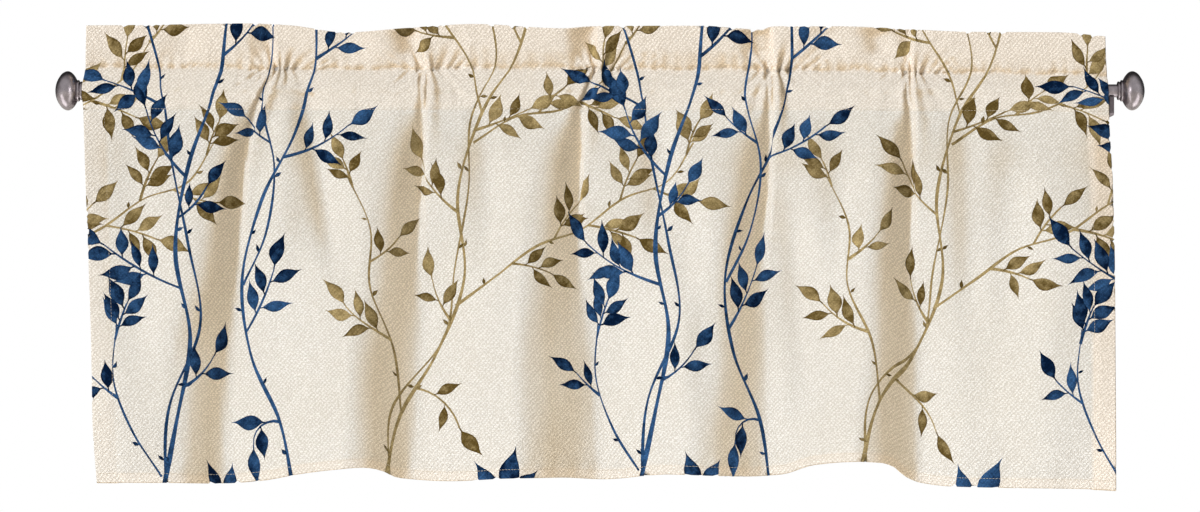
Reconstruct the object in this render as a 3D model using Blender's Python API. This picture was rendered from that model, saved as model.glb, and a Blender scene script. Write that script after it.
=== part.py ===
"""Window valance on a curtain rod.

One cut length of cloth hangs from a metal tube by its rod pocket, under a stand-up header, in five
soft folds. Two knob finials close the tube, and two strip brackets carry it in front of the wall.

Units are metres in the scene. Tables are in millimetres and say so. +X runs along the rod to the
right, the room is at -Y, +Z is up. The origin lies on the wall plane at the height of the rod's axis,
midway between the brackets.
"""

import math
from typing import NamedTuple

import bmesh
import bpy
import numpy as np
from mathutils import Matrix, Vector

MM = 0.001

# Rod and what carries it, in millimetres.
ROD_FROM_WALL = 75.0
ROD_DIAMETER = 13.0
ROD_WALL = 0.9
ROD_HALF_LENGTH = 518.0
ROD_SIDES = 32
GAP = 0.3

SPIGOT_DIAMETER = 10.4
SPIGOT_LENGTH = 18.0
SPIGOT_CHAMFER = 0.8
FINIAL_SIDES = 32

BRACKET_X = 512.3
ARM_THICKNESS = 4.4
PLATE_WIDTH = 14.0
PLATE_INSET = 4.0  # how far the plate's middle lies inside the arm's
PLATE_THICKNESS = 3.0
PLATE_TOP = 32.0
PLATE_BOTTOM = -46.0
PLATE_CORNER = 3.0
PLATE_CORNER_STEPS = 4
SCREW_HOLE_DIAMETER = 4.5
SCREW_HOLE_SIDES = 20
SCREW_HEIGHTS = (23.0, -38.0)
SADDLE_CLEARANCE = 0.35
SADDLE_RADIUS = ROD_DIAMETER / 2 + SADDLE_CLEARANCE
SADDLE_BACK_DEG = 12.0
SADDLE_LIP_DEG = -128.0
SADDLE_POINTS = 15
LIP_THICKNESS = 1.2
LIP_ROUNDING = 0.6
LIP_FOOT = -22.5
LIP_CHAMFER = 2.0
ARM_ROOT = PLATE_THICKNESS / 2

# Cloth, in millimetres.
CLOTH_THICKNESS = 1.2
HEM_EXTRA = 1.2
BOTTOM_HEM = 10.0
SIDE_HEM = 22.0
HEM_STEP = 1.2
ROD_CLEARANCE = 0.7

# Heights of the cloth's levels above the rod's axis, before the edges are shaped.
TOP_LEVEL = 63.0
SEAM_LEVEL = 24.0
ROD_LEVEL = 0.0
POCKET_LEVEL = -18.0
HEM_LEVEL = -391.0


class Level(NamedTuple):
    """The cloth at one height: where its ends are, and how its folds stand to the plain cloth."""

    height: float
    left_end: float
    right_end: float
    forward: float  # share of a fold's depth that stands in front of the plain cloth
    soft: float  # 0 where the folds are pinched, 1 where they are soft waves


LEVELS = (
    Level(TOP_LEVEL, -513.5, 505.0, 0.5, 0.0),
    Level(44.0, -514.0, 505.6, 0.5, 0.0),
    Level(SEAM_LEVEL, -514.6, 507.0, 0.5, 0.0),
    Level(ROD_LEVEL, -517.6, 508.0, 1.0, 0.0),
    Level(POCKET_LEVEL, -515.5, 508.0, 0.8, 0.0),
    Level(-89.5, -513.4, 512.3, 0.5, 0.40),
    Level(-169.5, -510.8, 514.2, 0.5, 0.88),
    Level(-249.5, -508.1, 514.4, 0.5, 1.0),
    Level(-329.5, -506.7, 514.4, 0.5, 1.0),
    Level(HEM_LEVEL, -502.6, 514.4, 0.5, 1.0),
)


class Crossing(NamedTuple):
    """One fold where it crosses one level."""

    edge: float  # x of the fold's near edge
    band: float  # width over which the cloth recedes before that edge
    depth: float  # how far the valley lies behind the ridge
    pucker: float  # how far the gathers stand forward


FOLDS = {
    "outer_left": (
        Crossing(-332.0, 22.0, 3.5, 0.0),
        Crossing(-331.0, 18.0, 4.0, 1.0),
        Crossing(-330.0, 14.0, 2.0, 3.5),
        Crossing(-338.0, 13.0, 1.0, 3.5),
        Crossing(-345.0, 17.0, 4.0, 2.5),
        Crossing(-358.0, 34.0, 13.0, 0.0),
        Crossing(-361.0, 46.0, 15.0, 0.0),
        Crossing(-371.0, 52.0, 16.0, 0.0),
        Crossing(-377.5, 56.0, 16.0, 0.0),
        Crossing(-380.0, 58.0, 16.0, 0.0),
    ),
    "inner_left": (
        Crossing(-188.0, 28.0, 6.0, 0.0),
        Crossing(-186.0, 24.0, 6.0, 1.0),
        Crossing(-180.0, 14.0, 2.0, 4.0),
        Crossing(-179.0, 15.0, 1.0, 4.0),
        Crossing(-179.0, 22.0, 5.0, 3.0),
        Crossing(-179.5, 44.0, 14.0, 0.0),
        Crossing(-181.5, 56.0, 14.5, 0.0),
        Crossing(-184.0, 66.0, 15.0, 0.0),
        Crossing(-189.0, 66.0, 15.0, 0.0),
        Crossing(-193.0, 64.0, 15.0, 0.0),
    ),
    "middle": (
        Crossing(-8.0, 28.0, 7.0, 0.0),
        Crossing(-9.0, 22.0, 7.0, 1.0),
        Crossing(-10.0, 14.0, 2.0, 4.0),
        Crossing(-14.0, 15.0, 1.0, 4.0),
        Crossing(-19.0, 24.0, 5.0, 3.0),
        Crossing(-21.0, 46.0, 14.0, 0.0),
        Crossing(-20.0, 60.0, 15.0, 0.0),
        Crossing(-13.5, 70.0, 15.5, 0.0),
        Crossing(-7.5, 76.0, 16.0, 0.0),
        Crossing(-5.0, 78.0, 16.0, 0.0),
    ),
    "inner_right": (
        Crossing(168.0, 32.0, 8.0, 0.0),
        Crossing(168.0, 28.0, 8.0, 1.0),
        Crossing(168.0, 16.0, 2.0, 4.0),
        Crossing(168.0, 15.0, 1.0, 4.0),
        Crossing(168.0, 20.0, 5.0, 3.0),
        Crossing(168.0, 50.0, 14.0, 0.0),
        Crossing(163.0, 62.0, 15.0, 0.0),
        Crossing(161.0, 70.0, 16.0, 0.0),
        Crossing(161.0, 72.0, 16.0, 0.0),
        Crossing(161.0, 72.0, 16.0, 0.0),
    ),
    "outer_right": (
        Crossing(307.0, 38.0, 5.0, 0.0),
        Crossing(306.0, 32.0, 5.0, 1.0),
        Crossing(306.0, 16.0, 2.0, 4.0),
        Crossing(306.0, 15.0, 1.0, 4.0),
        Crossing(309.0, 20.0, 5.0, 3.0),
        Crossing(311.5, 38.0, 14.0, 0.0),
        Crossing(312.0, 50.0, 15.0, 0.0),
        Crossing(314.5, 58.0, 16.0, 0.0),
        Crossing(316.0, 62.0, 17.0, 0.0),
        Crossing(316.0, 62.0, 17.0, 0.0),
    ),
}


class Turn(NamedTuple):
    """One point of a fold's plan, from its shoulder at the left to its crest at the right."""

    before: float  # share of the band left of the near edge
    past: float  # millimetres right of the near edge
    lean: float  # sideways shift, as a share of the depth
    sunk: float  # share of the depth behind the ridge
    gather: float  # share of the pucker


FOLD_PLAN = (
    Turn(1.00, 0.0, 0.00, 0.00, 0.0),
    Turn(0.55, 0.0, 0.00, 0.20, 0.1),
    Turn(0.25, 0.0, 0.00, 0.60, 0.6),
    Turn(0.00, 0.0, 0.02, 0.93, 0.1),
    Turn(0.00, 2.8, 0.09, 1.00, 0.5),
    Turn(0.00, 5.4, -0.045, 0.66, 0.1),
    Turn(0.00, 8.0, -0.25, 0.24, 0.8),
    Turn(0.00, 11.0, -0.15, 0.00, 1.0),
    Turn(0.00, 18.0, 0.00, -0.03, 0.2),
)
# The same points where the fold is a soft wave: a slope, a wide valley and a slow rise.
SOFT_PLAN = (
    Turn(1.00, 0.0, 0.00, 0.00, 0.0),
    Turn(0.62, 0.0, 0.00, 0.16, 0.0),
    Turn(0.30, 0.0, 0.00, 0.58, 0.0),
    Turn(0.00, -3.0, 0.00, 0.92, 0.0),
    Turn(0.00, 3.0, 0.00, 0.99, 0.0),
    Turn(0.00, 8.0, 0.00, 0.995, 0.0),
    Turn(0.00, 15.0, 0.00, 0.945, 0.0),
    Turn(0.00, 24.0, 0.00, 0.865, 0.0),
    Turn(0.00, 42.0, 0.00, 0.70, 0.0),
)
LEFT_END_SUNK = 0.45  # how far the ends of a soft row lie behind the ridges, as shares of the depth
RIGHT_END_SUNK = 0.10
PANEL_STEPS = 4
END_STEPS = 5


class EdgePoint(NamedTuple):
    """One point of an edge or seam line across the cloth, in millimetres."""

    x: float
    height: float


TOP_EDGE = (
    EdgePoint(-513, 64.5), EdgePoint(-450, 65.0), EdgePoint(-350, 66.5), EdgePoint(-310, 64.5),
    EdgePoint(-255, 57.5), EdgePoint(-192, 62.0), EdgePoint(-126, 65.8), EdgePoint(-37, 61.5),
    EdgePoint(-7, 63.9), EdgePoint(100, 64.0), EdgePoint(163, 60.2), EdgePoint(171, 63.5),
    EdgePoint(240, 63.5), EdgePoint(306, 60.9), EdgePoint(366, 58.1), EdgePoint(460, 57.5),
    EdgePoint(505, 53.5),
)
SEAM_LINE = (
    EdgePoint(-514, 26.5), EdgePoint(-230, 23.5), EdgePoint(-100, 25.5), EdgePoint(40, 24.0),
    EdgePoint(240, 22.5), EdgePoint(310, 20.0), EdgePoint(460, 17.5), EdgePoint(508, 15.5),
)
BOTTOM_EDGE = (
    EdgePoint(-503, -391.1), EdgePoint(-431, -391.1), EdgePoint(-381, -392.5), EdgePoint(-339, -389.5),
    EdgePoint(-300, -382.5), EdgePoint(-270, -378.5), EdgePoint(-237, -375.8), EdgePoint(-222, -378.0),
    EdgePoint(-200, -387.0), EdgePoint(-151, -389.9), EdgePoint(-85, -386.5), EdgePoint(-40, -386.1),
    EdgePoint(3, -388.2), EdgePoint(69, -382.8), EdgePoint(152, -385.3), EdgePoint(181, -383.5),
    EdgePoint(215, -373.5), EdgePoint(256, -370.0), EdgePoint(281, -371.2), EdgePoint(294, -375.3),
    EdgePoint(306, -385.3), EdgePoint(322, -391.9), EdgePoint(356, -395.5), EdgePoint(491, -397.5),
    EdgePoint(514, -398.5),
)

# Heights of the rows of the solid, as levels, top to bottom.
HEADER_ROWS = (TOP_LEVEL, 58.0, 44.0, 32.0, SEAM_LEVEL)
POCKET_ROWS = (15.0, 7.0, ROD_LEVEL, -9.0, POCKET_LEVEL + 1.0, POCKET_LEVEL - 1.0)
SKIRT_ROWS = (-36.0, -60.0, -89.5, -129.5, -169.5, -209.5, -249.5, -289.5, -329.5, -358.0)
HEM_ROWS = (HEM_LEVEL + BOTTOM_HEM + HEM_STEP, HEM_LEVEL + BOTTOM_HEM, HEM_LEVEL)
ROWS = HEADER_ROWS + POCKET_ROWS + SKIRT_ROWS + HEM_ROWS
SEAM_ROW = len(HEADER_ROWS) - 1
POCKET_END_ROW = len(HEADER_ROWS) + len(POCKET_ROWS) - 2
HEM_ROW = len(ROWS) - 2
HEM_COLUMNS = 2

# The pocket's back layer passes behind the rod at these angles above the horizontal.
BACK_LAYER_DEG = (30.0, 5.0, -20.0, -43.0)

COLOURS = {
    "cloth": ((0.76, 0.66, 0.52, 1.0), 0.95, 0.0),
    "pewter": ((0.17, 0.14, 0.15, 1.0), 0.32, 1.0),
}


def clear_scene():
    for obj in list(bpy.data.objects):
        bpy.data.objects.remove(obj, do_unlink=True)


def make_material(name):
    colour, roughness, metallic = COLOURS[name]
    material = bpy.data.materials.new(name)
    material.use_nodes = True
    shader = material.node_tree.nodes["Principled BSDF"]
    shader.inputs["Base Color"].default_value = colour
    shader.inputs["Roughness"].default_value = roughness
    shader.inputs["Metallic"].default_value = metallic
    return material


def add_object(name, bm, material, smooth_deg=30.0):
    """A mesh object from a bmesh, shaded smooth but for edges sharper than smooth_deg."""
    mesh = bpy.data.meshes.new(name)
    bm.to_mesh(mesh)
    bm.free()
    mesh.shade_smooth()
    mesh.set_sharp_from_angle(angle=math.radians(smooth_deg))
    mesh.materials.append(material)
    obj = bpy.data.objects.new(name, mesh)
    bpy.context.scene.collection.objects.link(obj)
    return obj


# ---------------------------------------------------------------- curves through table values


def smooth_between(x, xs, ys):
    """A curve through the points (xs, ys) that never overshoots them: Hermite, slopes kept monotone."""
    xs, ys = np.asarray(xs, float), np.asarray(ys, float)
    steps = np.diff(xs)
    slopes = np.diff(ys) / steps
    tangents = np.zeros_like(ys)
    same_way = slopes[:-1] * slopes[1:] > 0
    weight_a, weight_b = 2 * steps[1:] + steps[:-1], steps[1:] + 2 * steps[:-1]
    before, after = np.where(same_way, slopes[:-1], 1.0), np.where(same_way, slopes[1:], 1.0)
    mean = (weight_a + weight_b) / (weight_a / before + weight_b / after)
    tangents[1:-1] = np.where(same_way, mean, 0.0)
    tangents[0], tangents[-1] = slopes[0], slopes[-1]
    x = np.clip(x, xs[0], xs[-1])
    i = np.clip(np.searchsorted(xs, x, side="right") - 1, 0, len(xs) - 2)
    t = (x - xs[i]) / steps[i]
    rise = (3 - 2 * t) * t * t
    value = ys[i] * (1 - rise) + ys[i + 1] * rise
    return value + steps[i] * (t * (1 - t) ** 2 * tangents[i] - t * t * (1 - t) * tangents[i + 1])


def edge_height(x, edge):
    return smooth_between(x, [p.x for p in edge], [p.height for p in edge])


def at_height(height, column):
    """A column of LEVELS at any height."""
    return float(smooth_between(height, HEIGHTS, column[::-1]))


HEIGHTS = [level.height for level in LEVELS][::-1]


def crossing_at(fold, height):
    return Crossing(*(at_height(height, column) for column in zip(*FOLDS[fold])))


def level_at(height):
    return Level(*(at_height(height, column) for column in zip(*LEVELS)))


# ---------------------------------------------------------------- the cloth's plan and section


def turns_at(level):
    """The fold's plan at one level, between pinched and soft."""
    for pinched, wave in zip(FOLD_PLAN, SOFT_PLAN):
        yield Turn(*(a * (1 - level.soft) + b * level.soft for a, b in zip(pinched, wave)))


def plan_row(height):
    """x and stand (how far in front of the plain cloth) of every column at one height."""
    level = level_at(height)
    x, stand, depths = [], [], []
    for fold in FOLDS:
        cross = crossing_at(fold, height)
        for turn in turns_at(level):
            x.append(cross.edge - turn.before * cross.band + turn.past + turn.lean * cross.depth)
            forward = (level.forward - turn.sunk) * cross.depth
            stand.append(forward + turn.gather * cross.pucker)
            depths.append(cross.depth)
    per_fold = len(FOLD_PLAN)
    left_stand = stand[0] - level.soft * LEFT_END_SUNK * depths[0]
    right_ridge = (level.forward - RIGHT_END_SUNK) * depths[-1]
    right_stand = stand[-1] * (1 - level.soft) + right_ridge * level.soft
    all_x = [level.left_end, level.left_end + SIDE_HEM]
    all_x += spread(level.left_end + SIDE_HEM + HEM_STEP, x[0], END_STEPS)
    all_stand = list(np.interp(all_x, (level.left_end, x[0]), (left_stand, stand[0])))
    for first in range(0, len(x), per_fold):
        last = first + per_fold
        all_x += x[first:last]
        all_stand += stand[first:last]
        if last < len(x):
            all_x += spread(x[last - 1], x[last], PANEL_STEPS + 1)[1:]
            all_stand += spread(stand[last - 1], stand[last], PANEL_STEPS + 1)[1:]
    hem_start = level.right_end - SIDE_HEM
    all_x += spread(x[-1], hem_start - HEM_STEP, END_STEPS)[1:]
    all_x += [hem_start - HEM_STEP, hem_start, level.right_end]
    ahead = all_x[len(all_stand) :]
    all_stand += list(np.interp(ahead, (x[-1], level.right_end), (stand[-1], right_stand)))
    return np.array(all_x), np.array(all_stand)


def spread(start, end, steps):
    """Evenly spaced values from start, leaving out end."""
    return [start + (end - start) * i / steps for i in range(steps)]


def true_height(height, x):
    """The level's height once the top edge, header seam and bottom edge have their uneven lines."""
    seam = edge_height(x, SEAM_LINE)
    pocket = POCKET_LEVEL + (seam - SEAM_LEVEL) / 3
    lines = (edge_height(x, BOTTOM_EDGE), pocket, seam, edge_height(x, TOP_EDGE))
    levels = (HEM_LEVEL, POCKET_LEVEL, SEAM_LEVEL, TOP_LEVEL)
    i = min(max(np.searchsorted(levels, height) - 1, 0), 2)
    t = (height - levels[i]) / (levels[i + 1] - levels[i])
    return lines[i] * (1 - t) + lines[i + 1] * t


def plain_stand(z, seam):
    """How far the plain front layer stands in front of the rod's axis at height z."""
    pinch, reach = CLOTH_THICKNESS / 2, ROD_DIAMETER / 2 + ROD_CLEARANCE + CLOTH_THICKNESS / 2
    if z >= seam:
        return pinch
    if z <= 0:
        return reach
    touch = math.atan2(seam, pinch) - math.acos(reach / math.hypot(seam, pinch))
    touch_z = reach * math.sin(touch)
    if z < touch_z:
        return math.sqrt(reach * reach - z * z)
    return pinch + (reach * math.cos(touch) - pinch) * (seam - z) / (seam - touch_z)


def cloth_middle():
    """Middle of the front layer, header top to hem, as a grid of points [row][column]."""
    rows = []
    for height in ROWS:
        x, stand = plan_row(height)
        z = true_height(height, x)
        seam = edge_height(x, SEAM_LINE)
        plain = np.array([plain_stand(h, s) for h, s in zip(z, seam)])
        rows.append(np.stack([x, -ROD_FROM_WALL - plain - stand, z], axis=1))
    return np.array(rows)


def outward(grid):
    """Unit normals of a grid of points, towards the room."""
    down = np.gradient(grid, axis=0)
    across = np.gradient(grid, axis=1)
    normal = np.cross(down, across)
    normal /= np.linalg.norm(normal, axis=2, keepdims=True)
    return normal


def hem_share(columns):
    """Where the front layer's back carries a hem: 1 on the skirt's bottom and side hems, else 0."""
    share = np.zeros((len(ROWS), columns))
    skirt_row = POCKET_END_ROW + 2
    share[HEM_ROW:, :] = 1.0
    share[skirt_row:, :HEM_COLUMNS] = 1.0
    share[skirt_row:, -HEM_COLUMNS:] = 1.0
    return share


def back_layer(start, end):
    """Middle of the pocket's back layer between two points of the front layer, behind the rod."""
    reach = ROD_DIAMETER / 2 + ROD_CLEARANCE + CLOTH_THICKNESS
    share = np.linspace(0, 1, len(BACK_LAYER_DEG) + 2)[1:-1]
    path = []
    for part, angle in zip(share, np.radians(BACK_LAYER_DEG)):
        x = start[0] * (1 - part) + end[0] * part
        path.append((x, -ROD_FROM_WALL + reach * math.cos(angle), reach * math.sin(angle)))
    return np.array(path)


class CellSolid:
    """A solid joined from boxy cells that share corners: walls that two cells share fall away."""

    def __init__(self):
        self.bm = bmesh.new()
        self.walls = {}

    def point(self, position):
        return self.bm.verts.new(Vector(position) * MM)

    def add_cell(self, near, far):
        """near and far are four corners each, in the same order, seen from outside the near face."""
        faces = [near, far[::-1]]
        for i in range(4):
            faces.append((near[i], far[i], far[(i + 1) % 4], near[(i + 1) % 4]))
        for face in faces:
            key = frozenset(face)
            if key in self.walls:
                del self.walls[key]
            else:
                self.walls[key] = face

    def finish(self):
        for face in self.walls.values():
            self.bm.faces.new(face)
        bmesh.ops.recalc_face_normals(self.bm, faces=self.bm.faces)
        return self.bm


def make_cloth(material):
    middle = cloth_middle()
    normal = outward(middle)
    columns = middle.shape[1]
    half = CLOTH_THICKNESS / 2
    extra = HEM_EXTRA * hem_share(columns)[..., None]
    solid = CellSolid()

    def grid_of(points):
        return [[solid.point(p) for p in row] for row in points]

    front = grid_of(middle + half * normal)
    inner = grid_of(middle - (half + extra) * normal)
    header_back = grid_of((middle - (half + CLOTH_THICKNESS) * normal)[: SEAM_ROW + 1])

    def strip(outside, inside, rows, first, last):
        for i in rows:
            for j in range(first, last):
                corners = ((outside, i), (outside, i + 1), (inside, i + 1), (inside, i))
                near, far = (tuple(grid[row][k] for grid, row in corners) for k in (j, j + 1))
                solid.add_cell(near, far)

    strip(front, inner, range(len(ROWS) - 1), 0, columns - 1)
    strip(inner, header_back, range(SEAM_ROW), 0, columns - 1)

    # The pocket's back layer stops at the left side hem, where that bracket reaches the rod.
    last = len(BACK_LAYER_DEG) + 1
    facing, behind = ([[None] * columns for _ in range(last + 1)] for _ in range(2))
    for j in range(HEM_COLUMNS, columns):
        path = back_layer(middle[SEAM_ROW, j], middle[POCKET_END_ROW, j])
        facing[0][j], behind[0][j] = inner[SEAM_ROW][j], header_back[SEAM_ROW][j]
        facing[last][j], behind[last][j] = inner[POCKET_END_ROW][j], inner[POCKET_END_ROW + 1][j]
        for k, (point, angle) in enumerate(zip(path, np.radians(BACK_LAYER_DEG)), start=1):
            away = np.array((0.0, math.cos(angle), math.sin(angle)))
            facing[k][j] = solid.point(point - half * away)
            behind[k][j] = solid.point(point + half * away)
    strip(facing, behind, range(last), HEM_COLUMNS, columns - 1)
    return add_object("valance_cloth", solid.finish(), material, 40.0)


# ---------------------------------------------------------------- rod, finials, brackets


def turned(profile, sides):
    """A solid turned about the rod's axis from (x, radius) points; it starts and ends on the axis."""
    bm = bmesh.new()
    axis_y = -ROD_FROM_WALL * MM
    verts = [bm.verts.new((x * MM, axis_y, r * MM)) for x, r in profile]
    edges = [bm.edges.new(pair) for pair in zip(verts, verts[1:])]
    bmesh.ops.spin(
        bm, geom=verts + edges, cent=(0, axis_y, 0), axis=(1, 0, 0), angle=2 * math.pi, steps=sides
    )
    bmesh.ops.remove_doubles(bm, verts=bm.verts, dist=1e-6)
    bmesh.ops.recalc_face_normals(bm, faces=bm.faces)
    return bm


def make_rod(material):
    """A tube, open at both ends for the finials' spigots."""
    outer = ROD_DIAMETER / 2
    inner = outer - ROD_WALL
    end = ROD_HALF_LENGTH
    ring = [(-end, inner), (-end, outer), (end, outer), (end, inner), (-end, inner)]
    return add_object("curtain_rod", turned(ring, ROD_SIDES), material)


class Lathe(NamedTuple):
    """One point of the finial's outline, in millimetres from the rod's end."""

    along: float
    radius: float


FINIAL_OUTLINE = (
    Lathe(GAP, 8.6), Lathe(0.9, 9.3), Lathe(2.2, 9.3), Lathe(2.8, 8.5), Lathe(3.3, 8.7),
    Lathe(3.9, 10.5), Lathe(5.2, 10.9), Lathe(5.8, 10.6), Lathe(6.4, 11.9), Lathe(8.2, 14.9),
    Lathe(10.4, 17.5), Lathe(12.6, 19.1), Lathe(15.2, 19.7), Lathe(18.0, 19.0), Lathe(20.9, 17.0),
    Lathe(23.6, 13.5), Lathe(25.9, 9.0), Lathe(27.2, 4.6), Lathe(27.6, 0.0),
)


def make_finial(name, side, material):
    """A knob on two collar rings, with a spigot in the tube. side is 1 at the right, -1 at the left."""
    spigot, end = SPIGOT_DIAMETER / 2, -SPIGOT_LENGTH
    outline = [(end, 0.0), (end, spigot - SPIGOT_CHAMFER), (end + SPIGOT_CHAMFER, spigot)]
    outline += [(GAP, spigot)] + [(p.along, p.radius) for p in FINIAL_OUTLINE]
    profile = [(side * (ROD_HALF_LENGTH + along), radius) for along, radius in outline]
    return add_object(name, turned(profile, FINIAL_SIDES), material)


class ArmPoint(NamedTuple):
    """One point of the arm's side view."""

    out: float  # distance from the wall
    height: float


ARM_ABOVE = (
    ArmPoint(ARM_ROOT, 16.0), ArmPoint(8.0, 11.0), ArmPoint(25.0, 5.0), ArmPoint(59.0, 2.6),
    ArmPoint(65.5, 2.6),
)
ARM_UNDER = (
    ArmPoint(63.0, -25.0), ArmPoint(25.0, -26.0), ArmPoint(8.0, -29.0), ArmPoint(ARM_ROOT, -32.0),
)


def arm_outline():
    """The arm's side view: along its top to the wall side of the saddle, round it and back below."""
    saddle = []
    for angle in np.radians(np.linspace(SADDLE_BACK_DEG, SADDLE_LIP_DEG, SADDLE_POINTS)):
        out = ROD_FROM_WALL - SADDLE_RADIUS * math.cos(angle)
        saddle.append(ArmPoint(out, SADDLE_RADIUS * math.sin(angle)))
    tip = saddle[-1]
    front = tip.out + LIP_THICKNESS
    lip = (
        ArmPoint(front, tip.height - LIP_ROUNDING), ArmPoint(front, LIP_FOOT),
        ArmPoint(front - LIP_CHAMFER, LIP_FOOT - LIP_CHAMFER),
    )
    return (*ARM_ABOVE, *saddle, *lip, *ARM_UNDER)


def extruded(outline, x_low, x_high):
    """A flat outline of (distance from the wall, height) points, given its thickness along X."""
    bm = bmesh.new()
    verts = [bm.verts.new((x_low * MM, -out * MM, up * MM)) for out, up in outline]
    face = bm.faces.new(verts)
    made = bmesh.ops.extrude_face_region(bm, geom=[face])["geom"]
    moved = [item for item in made if isinstance(item, bmesh.types.BMVert)]
    bmesh.ops.translate(bm, verts=moved, vec=((x_high - x_low) * MM, 0, 0))
    bmesh.ops.recalc_face_normals(bm, faces=bm.faces)
    return bm


def box(low, high):
    bm = bmesh.new()
    bmesh.ops.create_cube(bm, size=1.0)
    for vert in bm.verts:
        for axis in range(3):
            vert.co[axis] = (low[axis] if vert.co[axis] < 0 else high[axis]) * MM
    return bm


def screw_cutter(x, height):
    bm = bmesh.new()
    radius = SCREW_HOLE_DIAMETER / 2 * MM
    place = Matrix.Translation(Vector((x, 0, height)) * MM) @ Matrix.Rotation(math.radians(90), 4, "X")
    bmesh.ops.create_cone(
        bm, cap_ends=True, segments=SCREW_HOLE_SIDES, radius1=radius, radius2=radius,
        depth=4 * PLATE_THICKNESS * MM, matrix=place,
    )
    return bm


def add_boolean(obj, name, bm, operation):
    """A hidden helper that is joined to the object or cut from it."""
    mesh = bpy.data.meshes.new(name)
    bm.to_mesh(mesh)
    bm.free()
    helper = bpy.data.objects.new(name, mesh)
    helper.hide_render = True
    helper.display_type = "WIRE"
    bpy.context.scene.collection.objects.link(helper)
    modifier = obj.modifiers.new(name, "BOOLEAN")
    modifier.operation = operation
    modifier.object = helper


def make_bracket(name, side, material):
    """A strip plate on the wall with a flat arm whose saddle carries the rod."""
    x, plate_x = side * BRACKET_X, side * (BRACKET_X - PLATE_INSET)
    plate = box(
        (plate_x - PLATE_WIDTH / 2, -PLATE_THICKNESS, PLATE_BOTTOM),
        (plate_x + PLATE_WIDTH / 2, 0.0, PLATE_TOP),
    )
    corners = [e for e in plate.edges if abs(e.verts[0].co.y - e.verts[1].co.y) > MM]
    bmesh.ops.bevel(
        plate, geom=corners, offset=PLATE_CORNER * MM, segments=PLATE_CORNER_STEPS, profile=0.5,
        affect="EDGES",
    )
    bracket = add_object(name, plate, material)
    arm = extruded(arm_outline(), x - ARM_THICKNESS / 2, x + ARM_THICKNESS / 2)
    add_boolean(bracket, name + "_arm", arm, "UNION")
    for number, height in enumerate(SCREW_HEIGHTS, start=1):
        add_boolean(bracket, f"{name}_screw_hole_{number}", screw_cutter(plate_x, height), "DIFFERENCE")
    return bracket


def main():
    clear_scene()
    cloth, pewter = make_material("cloth"), make_material("pewter")
    make_cloth(cloth)
    make_rod(pewter)
    for name, side in (("left", -1), ("right", 1)):
        make_finial("finial_" + name, side, pewter)
        make_bracket("bracket_" + name, side, pewter)


main()
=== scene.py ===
"""Looks of the window valance: cloth with a printed vine, sewing, pewter ends and a pale studio."""

import math
from typing import NamedTuple

import bpy
import numpy as np
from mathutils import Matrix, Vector
from mathutils.geometry import delaunay_2d_cdt


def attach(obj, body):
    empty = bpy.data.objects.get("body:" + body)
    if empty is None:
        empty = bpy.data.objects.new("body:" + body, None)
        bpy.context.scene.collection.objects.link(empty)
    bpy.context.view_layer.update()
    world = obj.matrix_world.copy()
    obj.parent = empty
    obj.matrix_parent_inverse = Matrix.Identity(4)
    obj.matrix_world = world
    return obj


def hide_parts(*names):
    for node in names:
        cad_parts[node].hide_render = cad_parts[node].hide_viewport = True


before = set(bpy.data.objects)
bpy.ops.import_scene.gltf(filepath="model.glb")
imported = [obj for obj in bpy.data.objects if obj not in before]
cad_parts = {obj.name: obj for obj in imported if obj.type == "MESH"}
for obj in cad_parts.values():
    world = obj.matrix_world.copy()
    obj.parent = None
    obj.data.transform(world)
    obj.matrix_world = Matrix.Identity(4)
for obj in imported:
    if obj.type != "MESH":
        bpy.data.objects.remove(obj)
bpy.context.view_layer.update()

bl_info = {
    "name": "Window Valance",
    "version": (1, 0, 0),
    "blender": (4, 5, 0),
    "location": "View3D > Sidebar > Valance",
    "description": "Dresses the valance with cloth, sewing and metal, and sets its studio",
    "category": "Object",
}

MM = 0.001

# ---------------------------------------------------------------- sizes, in millimetres

ROD_FROM_WALL = 75.0
ROD_DIAMETER = 13.0
ROD_CLEARANCE = 0.7
ROD_ROOM = 1.0  # from the rod to the middle of the cloth's thickness
ROD_HALF_LENGTH = 518.0
CAD_CLOTH = 1.2
SIDE_HEM = 22.0
BOTTOM_HEM = 10.0

TOP_LEVEL = 63.0
SEAM_LEVEL = 24.0
POCKET_LEVEL = -18.0
HEM_LEVEL = -391.0

FRONT_DROP = TOP_LEVEL - HEM_LEVEL
SEAM_DROP = TOP_LEVEL - SEAM_LEVEL
POCKET_DROP = TOP_LEVEL - POCKET_LEVEL
BACK_LAYER = 45.0  # length of the pocket's back layer, from seam to seam
BACK_LAYER_DEG = (30.0, 5.0, -20.0, -43.0)  # where it passes behind the rod, 0 straight behind


def table(columns, *rows):
    """Rows of values under their columns' names."""
    return tuple(columns(*row) for row in rows)


class Level(NamedTuple):
    """The cloth at one height: where its ends are, and how its folds stand to the plain cloth."""

    height: float
    left_end: float
    right_end: float
    forward: float  # share of a fold's depth that stands in front of the plain cloth
    soft: float  # 0 where the folds are pinched, 1 where they are soft waves


LEVELS = table(
    Level, (TOP_LEVEL, -513.5, 505, 0.5, 0), (44, -514, 505.6, 0.5, 0), (SEAM_LEVEL, -514.6, 507, 0.5, 0),
    (0, -517.6, 508, 1, 0), (POCKET_LEVEL, -515.5, 508, 0.8, 0), (-89.5, -513.4, 512.3, 0.5, 0.4),
    (-169.5, -510.8, 514.2, 0.5, 0.88), (-249.5, -508.1, 514.4, 0.5, 1), (-329.5, -506.7, 514.4, 0.5, 1),
    (HEM_LEVEL, -502.6, 514.4, 0.5, 1),
)


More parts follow.
